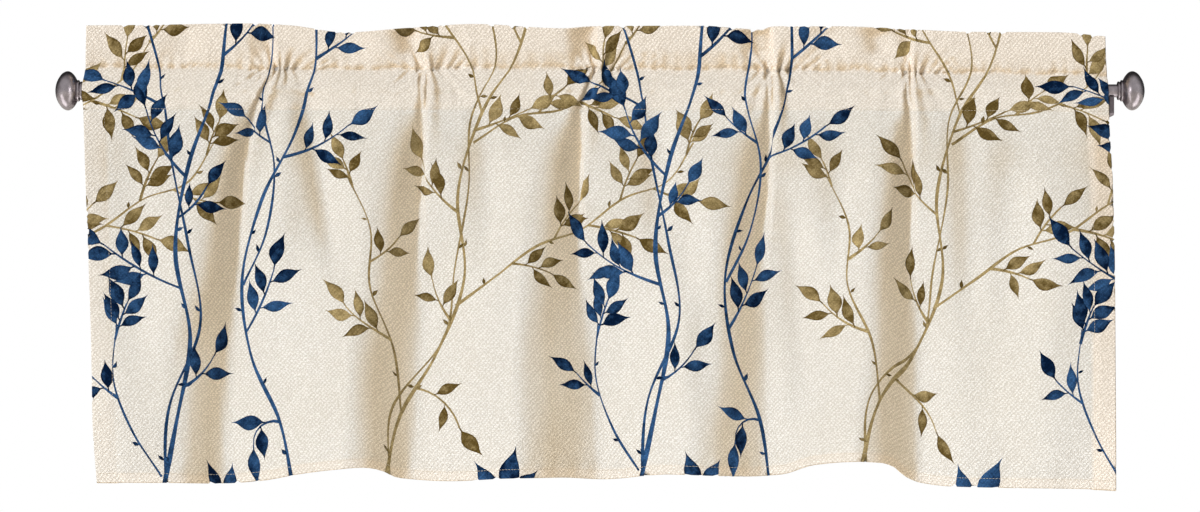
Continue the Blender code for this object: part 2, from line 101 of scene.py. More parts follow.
class Crossing(NamedTuple):
    """One fold where it crosses one of the levels, which come in their order from the top."""

    edge: float  # x of the fold's near edge
    band: float  # width over which the cloth recedes before that edge
    depth: float  # how far the valley lies behind the ridge
    pucker: float  # how far the gathers stand forward


FOLDS = {
    "outer_left": table(
        Crossing, (-332, 22, 3.5, 0), (-331, 18, 4, 1), (-330, 14, 2, 3.5), (-338, 13, 1, 3.5),
        (-345, 17, 4, 2.5), (-358, 34, 13, 0), (-361, 46, 15, 0), (-371, 52, 16, 0), (-377.5, 56, 16, 0),
        (-380, 58, 16, 0),
    ),
    "inner_left": table(
        Crossing, (-188, 28, 6, 0), (-186, 24, 6, 1), (-180, 14, 2, 4), (-179, 15, 1, 4), (-179, 22, 5, 3),
        (-179.5, 44, 14, 0), (-181.5, 56, 14.5, 0), (-184, 66, 15, 0), (-189, 66, 15, 0), (-193, 64, 15, 0),
    ),
    "middle": table(
        Crossing, (-8, 28, 7, 0), (-9, 22, 7, 1), (-10, 14, 2, 4), (-14, 15, 1, 4), (-19, 24, 5, 3),
        (-21, 46, 14, 0), (-20, 60, 15, 0), (-13.5, 70, 15.5, 0), (-7.5, 76, 16, 0), (-5, 78, 16, 0),
    ),
    "inner_right": table(
        Crossing, (168, 32, 8, 0), (168, 28, 8, 1), (168, 16, 2, 4), (168, 15, 1, 4), (168, 20, 5, 3),
        (168, 50, 14, 0), (163, 62, 15, 0), (161, 70, 16, 0), (161, 72, 16, 0), (161, 72, 16, 0),
    ),
    "outer_right": table(
        Crossing, (307, 38, 5, 0), (306, 32, 5, 1), (306, 16, 2, 4), (306, 15, 1, 4), (309, 20, 5, 3),
        (311.5, 38, 14, 0), (312, 50, 15, 0), (314.5, 58, 16, 0), (316, 62, 17, 0), (316, 62, 17, 0),
    ),
}


class Turn(NamedTuple):
    """One point of a fold's plan, from its shoulder at the left to its crest at the right."""

    before: float  # share of the band left of the near edge
    past: float  # millimetres right of the near edge
    lean: float  # sideways shift, as a share of the depth
    sunk: float  # share of the depth behind the ridge
    gather: float  # share of the pucker


FOLD_PLAN = table(
    Turn, (1, 0, 0, 0, 0), (0.55, 0, 0, 0.2, 0.1), (0.25, 0, 0, 0.6, 0.6), (0, 0, 0.02, 0.93, 0.1),
    (0, 2.8, 0.09, 1, 0.5), (0, 5.4, -0.045, 0.66, 0.1), (0, 8.2, -0.29, 0.05, 0.8), (0, 8.9, -0.27, 0.01, 1),
    (0, 12.5, -0.12, -0.01, 0.9), (0, 19, 0, -0.03, 0.2),
)
# The same points where the fold is a soft wave: a slope, a wide valley and a slow rise.
SOFT_PLAN = table(
    Turn, (1, 0, 0, 0, 0), (0.66, 0, 0, 0.12, 0), (0.4, 0, 0, 0.44, 0), (0.16, 0, 0, 0.78, 0),
    (0, -2, 0, 0.935, 0), (0, 2, 0, 0.985, 0), (0, 6, 0, 1, 0), (0, 12, 0, 0.97, 0), (0, 20, 0, 0.9, 0),
    (0, 42, 0, 0.7, 0),
)
LEFT_END_SUNK = 0.45  # how far the ends of a soft row lie behind the ridges, as shares of the depth
RIGHT_END_SUNK = 0.10
PANEL_STEPS = 3
END_STEPS = 4
SPAN_SAMPLES = 10


class EdgePoint(NamedTuple):
    """One point of an edge or seam line across the cloth, in millimetres."""

    x: float
    height: float


TOP_EDGE = table(
    EdgePoint, (-513, 64.5), (-450, 65), (-350, 66.5), (-310, 64.5), (-255, 57.5), (-192, 62), (-126, 65.8),
    (-37, 61.5), (-7, 63.9), (100, 64), (163, 60.2), (171, 63.5), (240, 63.5), (306, 60.9), (366, 58.1),
    (460, 57.5), (505, 53.5),
)
SEAM_LINE = table(
    EdgePoint, (-514, 23.5), (-230, 21), (-100, 22.5), (40, 21), (240, 20), (310, 18), (460, 16), (508, 14.5),
)
BOTTOM_EDGE = table(
    EdgePoint, (-503, -391.1), (-431, -391.1), (-381, -392.5), (-339, -389.5), (-300, -382.5), (-270, -378.5),
    (-237, -375.8), (-222, -378), (-200, -387), (-151, -389.9), (-85, -386.5), (-40, -386.1), (3, -388.2),
    (69, -382.8), (152, -385.3), (181, -383.5), (215, -373.5), (256, -370), (281, -371.2), (294, -375.3),
    (306, -385.3), (322, -391.9), (356, -395.5), (491, -397.5), (514, -398.5),
)


class Trough(NamedTuple):
    """A soft hollow or ridge in a panel, running from one point down to another."""

    top_x: float
    top: float
    foot_x: float
    foot: float
    width: float
    depth: float  # how far back its middle lies; below zero it is a ridge


TROUGHS = table(
    Trough, (-296, 6, -262, -180, 14, 5.5), (-314, 0, -318, -150, 16, -2), (55, -10, 62, -150, 15, 3.4),
    (88, -120, 104, -300, 18, 3.4), (192, -110, 212, -320, 17, 4.2), (238, -60, 246, -300, 20, 3.2),
    (-120, -30, -104, -210, 18, 3), (-90, -180, -84, -391, 26, -3.2), (-470, -60, -456, -300, 26, 3),
    (-404, -230, -440, -391, 24, 3.6), (-250, -220, -246, -391, 30, -3.4), (366, 0, 372, -240, 16, 3),
    (410, -40, 402, -280, 24, 2.6), (452, -120, 446, -391, 30, -2.6), (522, -10, 524, -300, 24, 4.6),
    (-416, 64, -420, 30, 14, 1.8), (-340, 60, -336, 30, 10, 2.6), (-252, 62, -246, 30, 16, 2),
    (-196, 60, -190, 34, 12, 3.6), (-18, 62, -16, 30, 11, 3.4), (152, 60, 158, 34, 12, 4),
    (276, 60, 284, 34, 13, 4.6), (226, 62, 228, 34, 16, 1.8),
)
UPPER_SETBACK = 2.0  # how far the cloth hangs back below the pocket
SETBACK_REACH = 70.0  # height over which it gets there
SETBACK_REGAINED = 0.6  # share of it by which the cloth has come forward again at the hem
REGAIN_START = -90.0
REGAIN_REACH = 280.0
SLOW_WAVE_HEIGHT = 0.45
SLOW_WAVE_START = -10.0
SLOW_WAVE_REACH = 60.0


class Cinch(NamedTuple):
    """The gathers sewn into the header seam at one fold, in the folds' order."""

    half_width: float
    wave: float  # flat width of one crinkle
    height: float
    start: float  # where in a crinkle the first one begins, in turns


CINCHES = table(
    Cinch, (15, 8.6, 1.5, 0.15), (13, 8, 1.6, 0.55), (12, 7.6, 1.5, 0.3), (15, 8.8, 1.6, 0.8),
    (13, 8.2, 1.4, 0.05),
)
CINCH_REACH_UP = 13.0
CINCH_REACH_DOWN = 20.0
CINCH_SPREAD = 14.0  # how far its crinkles run on past either side
FAN_OUT = 0.05  # how much wider crinkles get with each millimetre from the seam
GIVE_OUT = 0.045  # the same for the flat width that the gathers take up
RAY_HEIGHT = 1.0
RAY_WAVE = 13.5
PINCH = 1.6
PINCH_REACH = 7.0
SEAM_GROOVE = 1.35
SEAM_WIDTH = 2.6
PUCKER_HEIGHT = 0.5
PUCKER_REACH = 24.0


class Groove(NamedTuple):
    """The groove of a sewn line across the front, with the ripples along it."""

    drop: float
    depth: float
    width: float
    ripple_drop: float
    ripple: float  # height of the ripples
    ripple_width: float
    wave: float  # length of the ripples, and how slowly their pace changes
    slow: float


GROOVES = table(
    Groove, (POCKET_DROP, 0.25, 2, POCKET_DROP, 0.18, 8, 3.3, 23),
    (FRONT_DROP - BOTTOM_HEM + 1, 0.3, 1.8, FRONT_DROP - BOTTOM_HEM, 0.2, 6, 4.1, 37),
)
SIDE_GROOVE = 0.3
SIDE_GROOVE_WIDTH = 1.8


# ---------------------------------------------------------------- curves through table values


def smooth_between(x, xs, ys):
    """A curve through the points (xs, ys) that never overshoots them: Hermite, slopes kept monotone."""
    xs, ys = np.asarray(xs, float), np.asarray(ys, float)
    steps = np.diff(xs)
    slopes = np.diff(ys) / steps
    tangents = np.zeros_like(ys)
    same_way = slopes[:-1] * slopes[1:] > 0
    weight_a, weight_b = 2 * steps[1:] + steps[:-1], steps[1:] + 2 * steps[:-1]
    before, after = np.where(same_way, slopes[:-1], 1.0), np.where(same_way, slopes[1:], 1.0)
    mean = (weight_a + weight_b) / (weight_a / before + weight_b / after)
    tangents[1:-1] = np.where(same_way, mean, 0.0)
    tangents[0], tangents[-1] = slopes[0], slopes[-1]
    x = np.clip(x, xs[0], xs[-1])
    i = np.clip(np.searchsorted(xs, x, side="right") - 1, 0, len(xs) - 2)
    t = (x - xs[i]) / steps[i]
    rise = (3 - 2 * t) * t * t
    value = ys[i] * (1 - rise) + ys[i + 1] * rise
    return value + steps[i] * (t * (1 - t) ** 2 * tangents[i] - t * t * (1 - t) * tangents[i + 1])


def smooth_path(points, samples):
    """A centripetal curve through the points, with that many samples a span."""
    points = np.asarray(points, float)
    ends = np.concatenate([[2 * points[0] - points[1]], points, [2 * points[-1] - points[-2]]])
    chords = np.linalg.norm(np.diff(ends, axis=0), axis=1)
    knots = np.concatenate([[0.0], np.cumsum(np.sqrt(chords))])
    p = [ends[i : len(ends) - 3 + i, None, :] for i in range(4)]
    k = [knots[i : len(knots) - 3 + i, None, None] for i in range(4)]
    t = k[1] + (k[2] - k[1]) * np.linspace(0, 1, samples, endpoint=False)[None, :, None]

    def mix(a, b, low, high):
        return a * (high - t) / (high - low) + b * (t - low) / (high - low)

    first = [mix(p[i], p[i + 1], k[i], k[i + 1]) for i in range(3)]
    second = [mix(first[i], first[i + 1], k[i], k[i + 2]) for i in range(2)]
    curve = mix(second[0], second[1], k[1], k[2])
    return np.concatenate([curve.reshape(-1, points.shape[1]), points[-1:]])


def smooth_step(x):
    x = np.clip(x, 0, 1)
    return x * x * (3 - 2 * x)


def bell(x):
    return np.exp(-x * x)


def edge_height(x, edge):
    return smooth_between(x, [p.x for p in edge], [p.height for p in edge])


HEIGHTS = [level.height for level in LEVELS][::-1]


def at_height(height, column):
    """A column of LEVELS at any height."""
    return float(smooth_between(height, HEIGHTS, column[::-1]))


def crossing_at(fold, height):
    return Crossing(*(at_height(height, column) for column in zip(*FOLDS[fold])))


def level_at(height):
    return Level(*(at_height(height, column) for column in zip(*LEVELS)))


# ---------------------------------------------------------------- the hung cloth


def spread(start, end, steps):
    """Evenly spaced points from start, leaving out end."""
    return [tuple(a + (b - a) * i / steps for a, b in zip(start, end)) for i in range(steps)]


def turns_at(level):
    """The fold's plan at one level, between pinched and soft."""
    for pinched, wave in zip(FOLD_PLAN, SOFT_PLAN):
        yield Turn(*(a * (1 - level.soft) + b * level.soft for a, b in zip(pinched, wave)))


def plan_row(height):
    """The plan curve at one height: (x, stand) samples, and where each fold begins and ends in them."""
    level = level_at(height)
    points, folds = [], []
    last = None
    for fold in FOLDS:
        cross = crossing_at(fold, height)
        turns = []
        for turn in turns_at(level):
            x = cross.edge - turn.before * cross.band + turn.past + turn.lean * cross.depth
            stand = (level.forward - turn.sunk) * cross.depth + turn.gather * cross.pucker
            turns.append((x, stand))
        if last is None:
            left = (level.left_end, turns[0][1] - level.soft * LEFT_END_SUNK * cross.depth)
            points += spread(left, turns[0], END_STEPS)
        else:
            points += spread(last, turns[0], PANEL_STEPS + 1)[1:]
        folds.append((len(points), len(points) + len(turns) - 1))
        points += turns
        last = turns[-1]
    right_ridge = (level.forward - RIGHT_END_SUNK) * cross.depth
    right = (level.right_end, last[1] * (1 - level.soft) + right_ridge * level.soft)
    points += spread(last, right, END_STEPS)[1:] + [right]
    return smooth_path(points, SPAN_SAMPLES), [(a * SPAN_SAMPLES, b * SPAN_SAMPLES) for a, b in folds]


def true_height(height, x):
    """The level's height once the top edge, header seam and bottom edge have their uneven lines."""
    seam = edge_height(x, SEAM_LINE)
    pocket = POCKET_LEVEL + (seam - SEAM_LEVEL) / 3
    lines = (edge_height(x, BOTTOM_EDGE), pocket, seam, edge_height(x, TOP_EDGE))
    levels = (HEM_LEVEL, POCKET_LEVEL, SEAM_LEVEL, TOP_LEVEL)
    i = min(max(np.searchsorted(levels, height) - 1, 0), 2)
    t = (height - levels[i]) / (levels[i + 1] - levels[i])
    return lines[i] * (1 - t) + lines[i + 1] * t


def plain_stand(z, seam):
    """How far the plain front layer stands in front of the rod's axis at heights z."""
    pinch, reach = CAD_CLOTH / 2, ROD_DIAMETER / 2 + ROD_CLEARANCE + CAD_CLOTH / 2
    touch = np.arctan2(seam, pinch) - np.arccos(reach / np.hypot(seam, pinch))
    touch_z = reach * np.sin(touch)
    slope = pinch + (reach * np.cos(touch) - pinch) * (seam - z) / (seam - touch_z)
    round_rod = np.sqrt(np.maximum(reach * reach - z * z, 0))
    below = np.where(z <= 0, reach, np.where(z < touch_z, round_rod, slope))
    return np.where(z >= seam, pinch, below)


def sag(x, z):
    """How far the soft troughs push the cloth back."""
    regained = SETBACK_REGAINED * smooth_step((REGAIN_START - z) / REGAIN_REACH)
    back = UPPER_SETBACK * smooth_step((POCKET_LEVEL - z) / SETBACK_REACH) * (1 - regained)
    for t in TROUGHS:
        along = (t.top - z) / (t.top - t.foot)
        middle = t.top_x + (t.foot_x - t.top_x) * along
        across = bell((x - middle) / t.width)
        back += t.depth * across * smooth_step(0.5 + 2 * along) * smooth_step(2.5 - 2 * along)
    return back


def unevenness(x, z):
    """Slow waves of a cloth that was washed and hung."""
    low = smooth_step((SLOW_WAVE_START - z) / SLOW_WAVE_REACH)
    waves = np.sin(x / 21 + z / 90) * np.sin(z / 47 + 1.3 + x / 160)
    waves += 0.7 * np.sin(x / 12.5 - z / 71 + 2.0) * np.sin(z / 33 - x / 260)
    return SLOW_WAVE_HEIGHT * low * waves


def ripple(u, wave, swing, slow, phase=0.0):
    """A ripple across the cloth whose pace itself comes and goes."""
    return np.sin(u / wave + swing * np.sin(u / slow) + phase)


def arc_lengths(curve):
    """Distance along a flat curve at each of its points."""
    return np.concatenate([[0], np.cumsum(np.hypot(*np.diff(curve, axis=0).T))])


def facings(points, way=1):
    """The way that a grid of points faces; way is -1 where its rows run upwards."""
    normal = np.cross(way * np.gradient(points, axis=0), np.gradient(points, axis=1))
    return normal / np.linalg.norm(normal, axis=2, keepdims=True)


def between_points(grid, row, column):
    """A grid of vectors at places between its own rows and columns."""
    rows, columns = grid.shape[:2]
    row, column = np.clip(row, 0, rows - 1.001), np.clip(column, 0, columns - 1.001)
    i, j = row.astype(int), column.astype(int)
    a, b = (row - i)[:, None], (column - j)[:, None]
    top = grid[i, j] * (1 - b) + grid[i, j + 1] * b
    low = grid[i + 1, j] * (1 - b) + grid[i + 1, j + 1] * b
    return top * (1 - a) + low * a


class Drape:
    """The front layer as a grid over the flat cloth: u across, drop down from the top edge."""

    def __init__(self):
        self.drops = np.concatenate([
            np.arange(0, SEAM_DROP - 1, 1.5), np.arange(SEAM_DROP - 1, POCKET_DROP + 8, 1.0),
            np.arange(POCKET_DROP + 8, POCKET_DROP + 60, 2.5), np.arange(POCKET_DROP + 62, FRONT_DROP, 4.0),
            [FRONT_DROP],
        ])
        up, down = np.maximum(SEAM_DROP - self.drops, 0), np.maximum(self.drops - SEAM_DROP, 0)
        self.away = np.minimum(up + 0.8 * down, 60)  # from the header seam, as far as its gathers fan out
        rows = [plan_row(TOP_LEVEL - drop) for drop in self.drops]
        arcs = [arc_lengths(curve) for curve, _ in rows]
        excess = np.array([
            [arc[b] - arc[a] - (curve[b, 0] - curve[a, 0]) for a, b in folds]
            for (curve, folds), arc in zip(rows, arcs)
        ])
        spare = excess.max(axis=0) - excess
        flats = []
        self.cinch_u = np.zeros((len(rows), len(CINCHES)))
        for i, (_, folds) in enumerate(rows):
            flat = arcs[i].copy()
            for k, (a, b) in enumerate(folds):
                centre = arcs[i][(a + 2 * b) // 3]
                width = CINCHES[k].half_width * (1 + GIVE_OUT * self.away[i])
                flat += spare[i, k] * smooth_step((arcs[i] - centre) / (2 * width) + 0.5)
                self.cinch_u[i, k] = centre + spare[i, :k].sum() + spare[i, k] / 2
            flats.append(flat)
        self.width = max(flat[-1] for flat in flats)
        self.u = np.linspace(0, self.width, int(self.width) + 1)
        self.points = np.zeros((len(rows), len(self.u), 3))
        for i, (curve, _) in enumerate(rows):
            scale = self.width / flats[i][-1]
            self.cinch_u[i] *= scale
            x, stand = (np.interp(self.u, flats[i] * scale, values) for values in curve.T)
            z = true_height(TOP_LEVEL - self.drops[i], x)
            stand = stand - sag(x, z) + unevenness(x, z)
            plain = plain_stand(z, edge_height(x, SEAM_LINE))
            self.points[i] = np.stack([x, -ROD_FROM_WALL - plain - stand, z], axis=1)
        raised = self.sewn_grooves(self.creases(self.gathers()))
        self.points += raised[..., None] * facings(self.points)
        self.lay_on_rod()
        self.normals = facings(self.points)

    def lay_on_rod(self):
        """Keep the front layer outside the rod where a trough would push it in."""
        height, room = self.points[..., 2], ROD_DIAMETER / 2 + ROD_ROOM
        nearest = -ROD_FROM_WALL - np.sqrt(np.maximum(room * room - height * height, 0))
        forward = np.minimum(self.points[..., 1], nearest)
        self.points[..., 1] = np.where(np.abs(height) < room, forward, self.points[..., 1])

    def gathers(self):
        """Height of the crinkles and rays that run out from the gathers, and of their pinches."""
        drop = self.drops[:, None]
        above = np.maximum(SEAM_DROP - drop, 0) / CINCH_REACH_UP
        below = np.maximum(drop - SEAM_DROP, 0) / CINCH_REACH_DOWN
        fan = 1 + FAN_OUT * self.away[:, None]
        height = np.zeros((len(self.drops), len(self.u)))
        for k, cinch in enumerate(CINCHES):
            du = self.u[None, :] - self.cinch_u[:, k : k + 1]
            half = (cinch.half_width + CINCH_SPREAD) * fan
            turns = du / (cinch.wave * fan) + cinch.start + 0.12 * (0.6 * np.sin(du / 9.0 + k))
            uneven = 1 + 0.45 * np.sin(du / 6.1 + 2.1 * k)
            fade = np.exp(-above - below)
            height += cinch.height * fade * uneven * bell(du / half) * np.cos(2 * math.pi * turns)
            rays = np.cos(2 * math.pi * (du / (RAY_WAVE * fan) + 0.37 * k) + 0.9 * np.sin(du / 11.0 + k))
            height += RAY_HEIGHT * np.exp(-above * 1.3 - below * 0.5) * bell(du / (0.95 * half)) * rays
            height -= PINCH * bell(du / (0.6 * half)) * bell((drop - SEAM_DROP) / PINCH_REACH)
        return height

    def creases(self, height):
        """The height with the small puckers along the whole header seam."""
        drop, u = self.drops[:, None], self.u[None, :]
        above = np.maximum(SEAM_DROP - drop, 0) / CINCH_REACH_UP
        reach = PUCKER_REACH * (1 + 0.45 * ripple(u, 19.0, 1.7, 57.0))
        fade = np.exp(-above * 1.1 - np.maximum(drop - SEAM_DROP, 0) / reach)
        puckers = ripple(u, 2.3, 1.9, 13.7, 0.02 * drop) * ripple(u, 23.0, 1.0, 71.0)
        puckers += 0.6 * ripple(u, 3.9, 1.4, 29.0) * np.cos(u / 41.0)
        return height + PUCKER_HEIGHT * fade * puckers

    def sewn_grooves(self, height):
        """The height with the grooves that the sewing draws into the cloth."""
        drop, u = self.drops[:, None], self.u[None, :]
        groove = SEAM_GROOVE * (1 + 0.45 * ripple(u, 3.1, 2.0, 17.0) * np.sin(u / 37.0))
        wander = 0.9 * ripple(u, 11.0, 1.5, 43.0) + 0.6 * ripple(u, 4.7, 1.0, 31.0)
        height = height - groove * bell((drop - SEAM_DROP - wander) / SEAM_WIDTH)
        for g in GROOVES:
            waves = bell((drop - g.ripple_drop) / g.ripple_width) * ripple(u, g.wave, 1.0, g.slow)
            height -= g.depth * bell((drop - g.drop) / g.width) - g.ripple * waves
        skirt = smooth_step((drop - POCKET_DROP) / 10)
        for line in (SIDE_HEM - 1, self.width - SIDE_HEM + 1):
            height -= SIDE_GROOVE * skirt * bell((u - line) / SIDE_GROOVE_WIDTH)
        return height

    def look_up(self, grid, u, drop):
        """A grid of vectors at places on the front layer."""
        row = np.interp(drop, self.drops, np.arange(len(self.drops)))
        return between_points(grid, row, u / self.width * (len(self.u) - 1))


TURN_RADIUS = 0.6
TURN_LENGTH = math.pi * TURN_RADIUS / 2  # flat cloth on either side of a fold line
TURN_STEPS = tuple(TURN_LENGTH * share for share in (-1, -0.5, 0, 0.5, 1))
LAYER_STEP = 2 * TURN_RADIUS
TANGENT_STEP = 1.5
HEM_BULK = 1.1  # how much wider the bottom fold turns over a side hem
HEM_BULK_EDGE = 4.0


class Sheet:
    """The whole cut cloth, folded over the rod and hemmed: where each flat point (u, t) ends up."""

    def __init__(self):
        self.drape = Drape()
        self.right = self.drape.width + 2 * TURN_LENGTH
        self.bottom = FRONT_DROP + 2 * TURN_LENGTH
        self.seam = -(SEAM_DROP + TURN_LENGTH)
        self.start = self.seam - BACK_LAYER
        self.end = self.bottom + BOTTOM_HEM
        self.pocket = POCKET_DROP + TURN_LENGTH
        self.back = self.back_grid()
        self.back_facings = facings(self.back, -1)

    def back_grid(self):
        """The pocket's back layer, from the header seam behind and under the rod to the lower seam."""
        drape = self.drape
        ends = []
        for drop in (SEAM_DROP, POCKET_DROP):
            at = np.full_like(drape.u, drop)
            normal = drape.look_up(drape.normals, drape.u, at)
            ends.append(drape.look_up(drape.points, drape.u, at) - LAYER_STEP * normal)
        reach = ROD_DIAMETER / 2 + ROD_CLEARANCE + CAD_CLOTH
        path = [ends[0]]
        for i, angle in enumerate(np.radians(BACK_LAYER_DEG), start=1):
            share = i / (len(BACK_LAYER_DEG) + 1)
            x = ends[0][:, 0] * (1 - share) + ends[1][:, 0] * share
            y = np.full_like(x, -ROD_FROM_WALL + reach * math.cos(angle))
            path.append(np.stack([x, y, np.full_like(x, reach * math.sin(angle))], axis=1))
        path = np.stack([*path, ends[1]])
        last = path.shape[1] - 1
        picked = np.linspace(0, last, last // 4 + 1).round().astype(int)
        return np.stack([smooth_path(path[:, j], 4) for j in picked], axis=1)

    def look_back(self, grid, u, t):
        """A grid of vectors at places on the back layer."""
        rows, columns = grid.shape[:2]
        row = np.clip((self.seam - t) / BACK_LAYER, 0, 1) * (rows - 1)
        width = self.drape.width
        return between_points(grid, row, np.clip(u - TURN_LENGTH, 0, width) / width * (columns - 1))

    def place(self, u, t):
        """Middle of the cloth and the way its printed side faces, at flat points (u, t)."""
        drape = self.drape

        def turn(inside, radius):
            """Round the fold line: distance left on the layer, angle, how far behind and how far out."""
            angle = np.clip((TURN_LENGTH - inside) / TURN_LENGTH, 0, 2) * math.pi / 2
            left_over = np.maximum(np.abs(inside) - TURN_LENGTH, 0)
            return left_over, angle, radius * (1 - np.cos(angle)), radius * np.sin(angle)

        near_side = np.minimum(u, self.right - u)
        over_side_hem = smooth_step((SIDE_HEM + HEM_BULK_EDGE - near_side) / HEM_BULK_EDGE)
        thick = TURN_RADIUS * (1 + HEM_BULK * over_side_hem)
        over_top = turn(t, TURN_RADIUS)
        under = turn(self.bottom - t, thick)
        left = turn(u, TURN_RADIUS)
        right = turn(self.right - u, TURN_RADIUS)
        drop = np.where(t < self.bottom / 2, over_top[0], FRONT_DROP - under[0])
        across = np.where(u < self.right / 2, left[0], drape.width - right[0])
        point = drape.look_up(drape.points, across, drop)
        normal = drape.look_up(drape.normals, across, drop)
        ahead = drape.look_up(drape.points, np.minimum(across + TANGENT_STEP, drape.width), drop)
        before = drape.look_up(drape.points, np.maximum(across - TANGENT_STEP, 0), drop)
        tangent = (ahead - before) / np.linalg.norm(ahead - before, axis=1, keepdims=True)
        down = np.cross(tangent, normal)
        facing = normal
        for (_, angle, behind, out), way in (
            (over_top, -down), (under, down), (left, -tangent), (right, tangent)
        ):
            point = point - behind[:, None] * normal + out[:, None] * way
            facing = facing * np.cos(angle)[:, None] + way * np.sin(angle)[:, None]
        behind_rod = (t < self.seam)[:, None]
        point = np.where(behind_rod, self.look_back(self.back, u, t), point)
        facing = np.where(behind_rod, self.look_back(self.back_facings, u, t), facing)
        return point, facing / np.linalg.norm(facing, axis=1, keepdims=True)

    def outline(self):
        """Corners of the cut, anticlockwise in (u, t), and its flat area in square millimetres."""
        left, right = -SIDE_HEM, self.right + SIDE_HEM
        hem_start, hem_end = self.pocket + 2, self.bottom - 2 * TURN_LENGTH
        corners = np.array([
            (SIDE_HEM, self.start), (self.right, self.start), (self.right, hem_start), (right, hem_start),
            (right, hem_end), (self.right, hem_end), (self.right, self.end), (0.0, self.end), (0.0, hem_end),
            (left, hem_end), (left, hem_start), (0.0, hem_start), (0.0, self.seam), (SIDE_HEM, self.seam),
        ])
        x, y = corners.T
        return corners, 0.5 * abs(np.dot(x, np.roll(y, -1)) - np.dot(y, np.roll(x, -1)))


# ---------------------------------------------------------------- the print

REPEAT = 508.0  # flat width of one repeat
PRINT_START = -30.0  # where one repeat begins, from the cloth's left fold


class Stem(NamedTuple):
    """A main stem of one repeat: across from its left, rise from the bottom edge, in flat cloth."""

    name: str
    ink: str
    foot_width: float
    tip_width: float
    path: tuple


STEMS = table(
    Stem,
    ("gold_main", "gold", 3.8, 2.2, (
        (330, -14), (350, 62), (392, 128), (424, 204), (420, 288), (446, 366), (486, 436), (508, 545))),
    ("gold_twin", "gold", 2.4, 1.6, (
        (336, -14), (342, 70), (402, 146), (414, 214), (431, 292), (436, 362), (462, 424), (452, 480),
        (440, 545))),
    ("gold_fork", "gold", 2.8, 1.4, ((352, 66), (344, 128), (320, 188), (322, 250), (300, 306))),
    ("gold_reach", "gold", 2.8, 1.4, (
        (414, 176), (458, 206), (500, 236), (548, 252), (596, 284), (640, 300), (668, 340))),
    ("gold_high", "gold", 2.4, 1.3, ((438, 340), (482, 366), (530, 374), (578, 404), (606, 446))),
    ("gold_top", "gold", 2.2, 1.2, ((448, 370), (436, 420), (402, 470), (380, 545))),
    ("blue_main", "blue", 4.6, 2.8, (
        (96, -14), (116, 66), (130, 146), (118, 232), (134, 318), (164, 398), (174, 470), (196, 545))),
    ("blue_twin", "blue", 3.0, 2.0, (
        (99, -14), (108, 76), (141, 160), (131, 240), (117, 322), (108, 402), (84, 478), (60, 545))),
    ("blue_shoot", "blue", 2.6, 1.4, ((97, 6), (70, 52), (52, 104), (56, 158))),
    ("blue_second", "blue", 3.6, 2.4, (
        (236, -14), (226, 58), (196, 128), (188, 204), (212, 280), (250, 350), (270, 420), (272, 480),
        (292, 545))),
    ("blue_slip", "blue", 2.6, 1.6, ((189, 198), (216, 250), (228, 318), (214, 388), (222, 452), (206, 545))),
)


class Twig(NamedTuple):
    """A side twig with leaves: where it leaves its stem, how it grows, and its leaves."""

    at: float  # share of the stem's length
    side: int  # 1 to the right, -1 to the left
    reach: float
    opens: float  # degrees away from the stem
    bends: float  # degrees it turns back towards the stem's way, below zero it droops
    leaves: int
    leaf: float  # length of its largest leaf


TWIGS = {
    "gold_main": table(
        Twig, (0.20, 1, 66, 62, -70, 3, 30), (0.52, -1, 66, 52, 34, 5, 30), (0.66, 1, 58, 50, 10, 5, 29),
        (0.83, -1, 50, 48, 24, 4, 28), (0.90, 1, 46, 50, 10, 3, 28),
    ),
    "gold_twin": table(Twig, (0.34, -1, 44, 48, 30, 3, 28)),
    "gold_fork": table(
        Twig, (0.30, -1, 56, 50, 40, 5, 30), (0.62, 1, 42, 48, 20, 3, 27), (0.97, 1, 28, 12, 10, 4, 27),
    ),
    "gold_reach": table(
        Twig, (0.24, 1, 40, 44, -20, 4, 28), (0.40, -1, 46, 46, 20, 5, 29), (0.54, 1, 52, 42, -16, 5, 30),
        (0.68, -1, 44, 46, 16, 5, 29), (0.80, 1, 44, 48, 26, 4, 29), (0.97, -1, 36, 16, 18, 5, 28),
    ),
    "gold_high": table(
        Twig, (0.36, -1, 38, 46, 16, 4, 28), (0.58, 1, 46, 46, -10, 5, 29), (0.78, -1, 38, 44, 10, 4, 28),
        (0.97, 1, 32, 14, 18, 4, 27),
    ),
    "gold_top": table(Twig, (0.45, -1, 44, 46, 14, 4, 28), (0.80, 1, 30, 44, 14, 3, 26)),
    "blue_main": table(
        Twig, (0.20, 1, 46, 48, 34, 3, 29), (0.38, -1, 88, 58, 20, 7, 32), (0.50, 1, 44, 46, 30, 3, 27),
        (0.58, -1, 78, 60, 34, 6, 33), (0.80, 1, 62, 50, 26, 4, 30), (0.93, -1, 40, 46, 10, 3, 28),
    ),
    "blue_twin": table(Twig, (0.70, -1, 64, 50, -20, 5, 31), (0.88, 1, 36, 48, 10, 3, 27)),
    "blue_shoot": table(Twig, (0.55, -1, 34, 40, 14, 3, 28), (0.95, 1, 38, 8, -10, 6, 30)),
    "blue_second": table(
        Twig, (0.13, -1, 42, 58, -120, 3, 34), (0.30, 1, 70, 44, 16, 5, 31), (0.62, 1, 74, 48, 30, 5, 30),
        (0.80, 1, 52, 52, 8, 4, 30),
    ),
    "blue_slip": table(Twig, (0.42, -1, 38, 44, 20, 3, 27), (0.82, -1, 40, 46, 6, 3, 28)),
}


class LeafSpot(NamedTuple):
    """A leaf that stands by itself, such as a tip that the hem cuts."""

    ink: str
    across: float
    rise: float
    heading: float  # degrees, 90 is up
    length: float


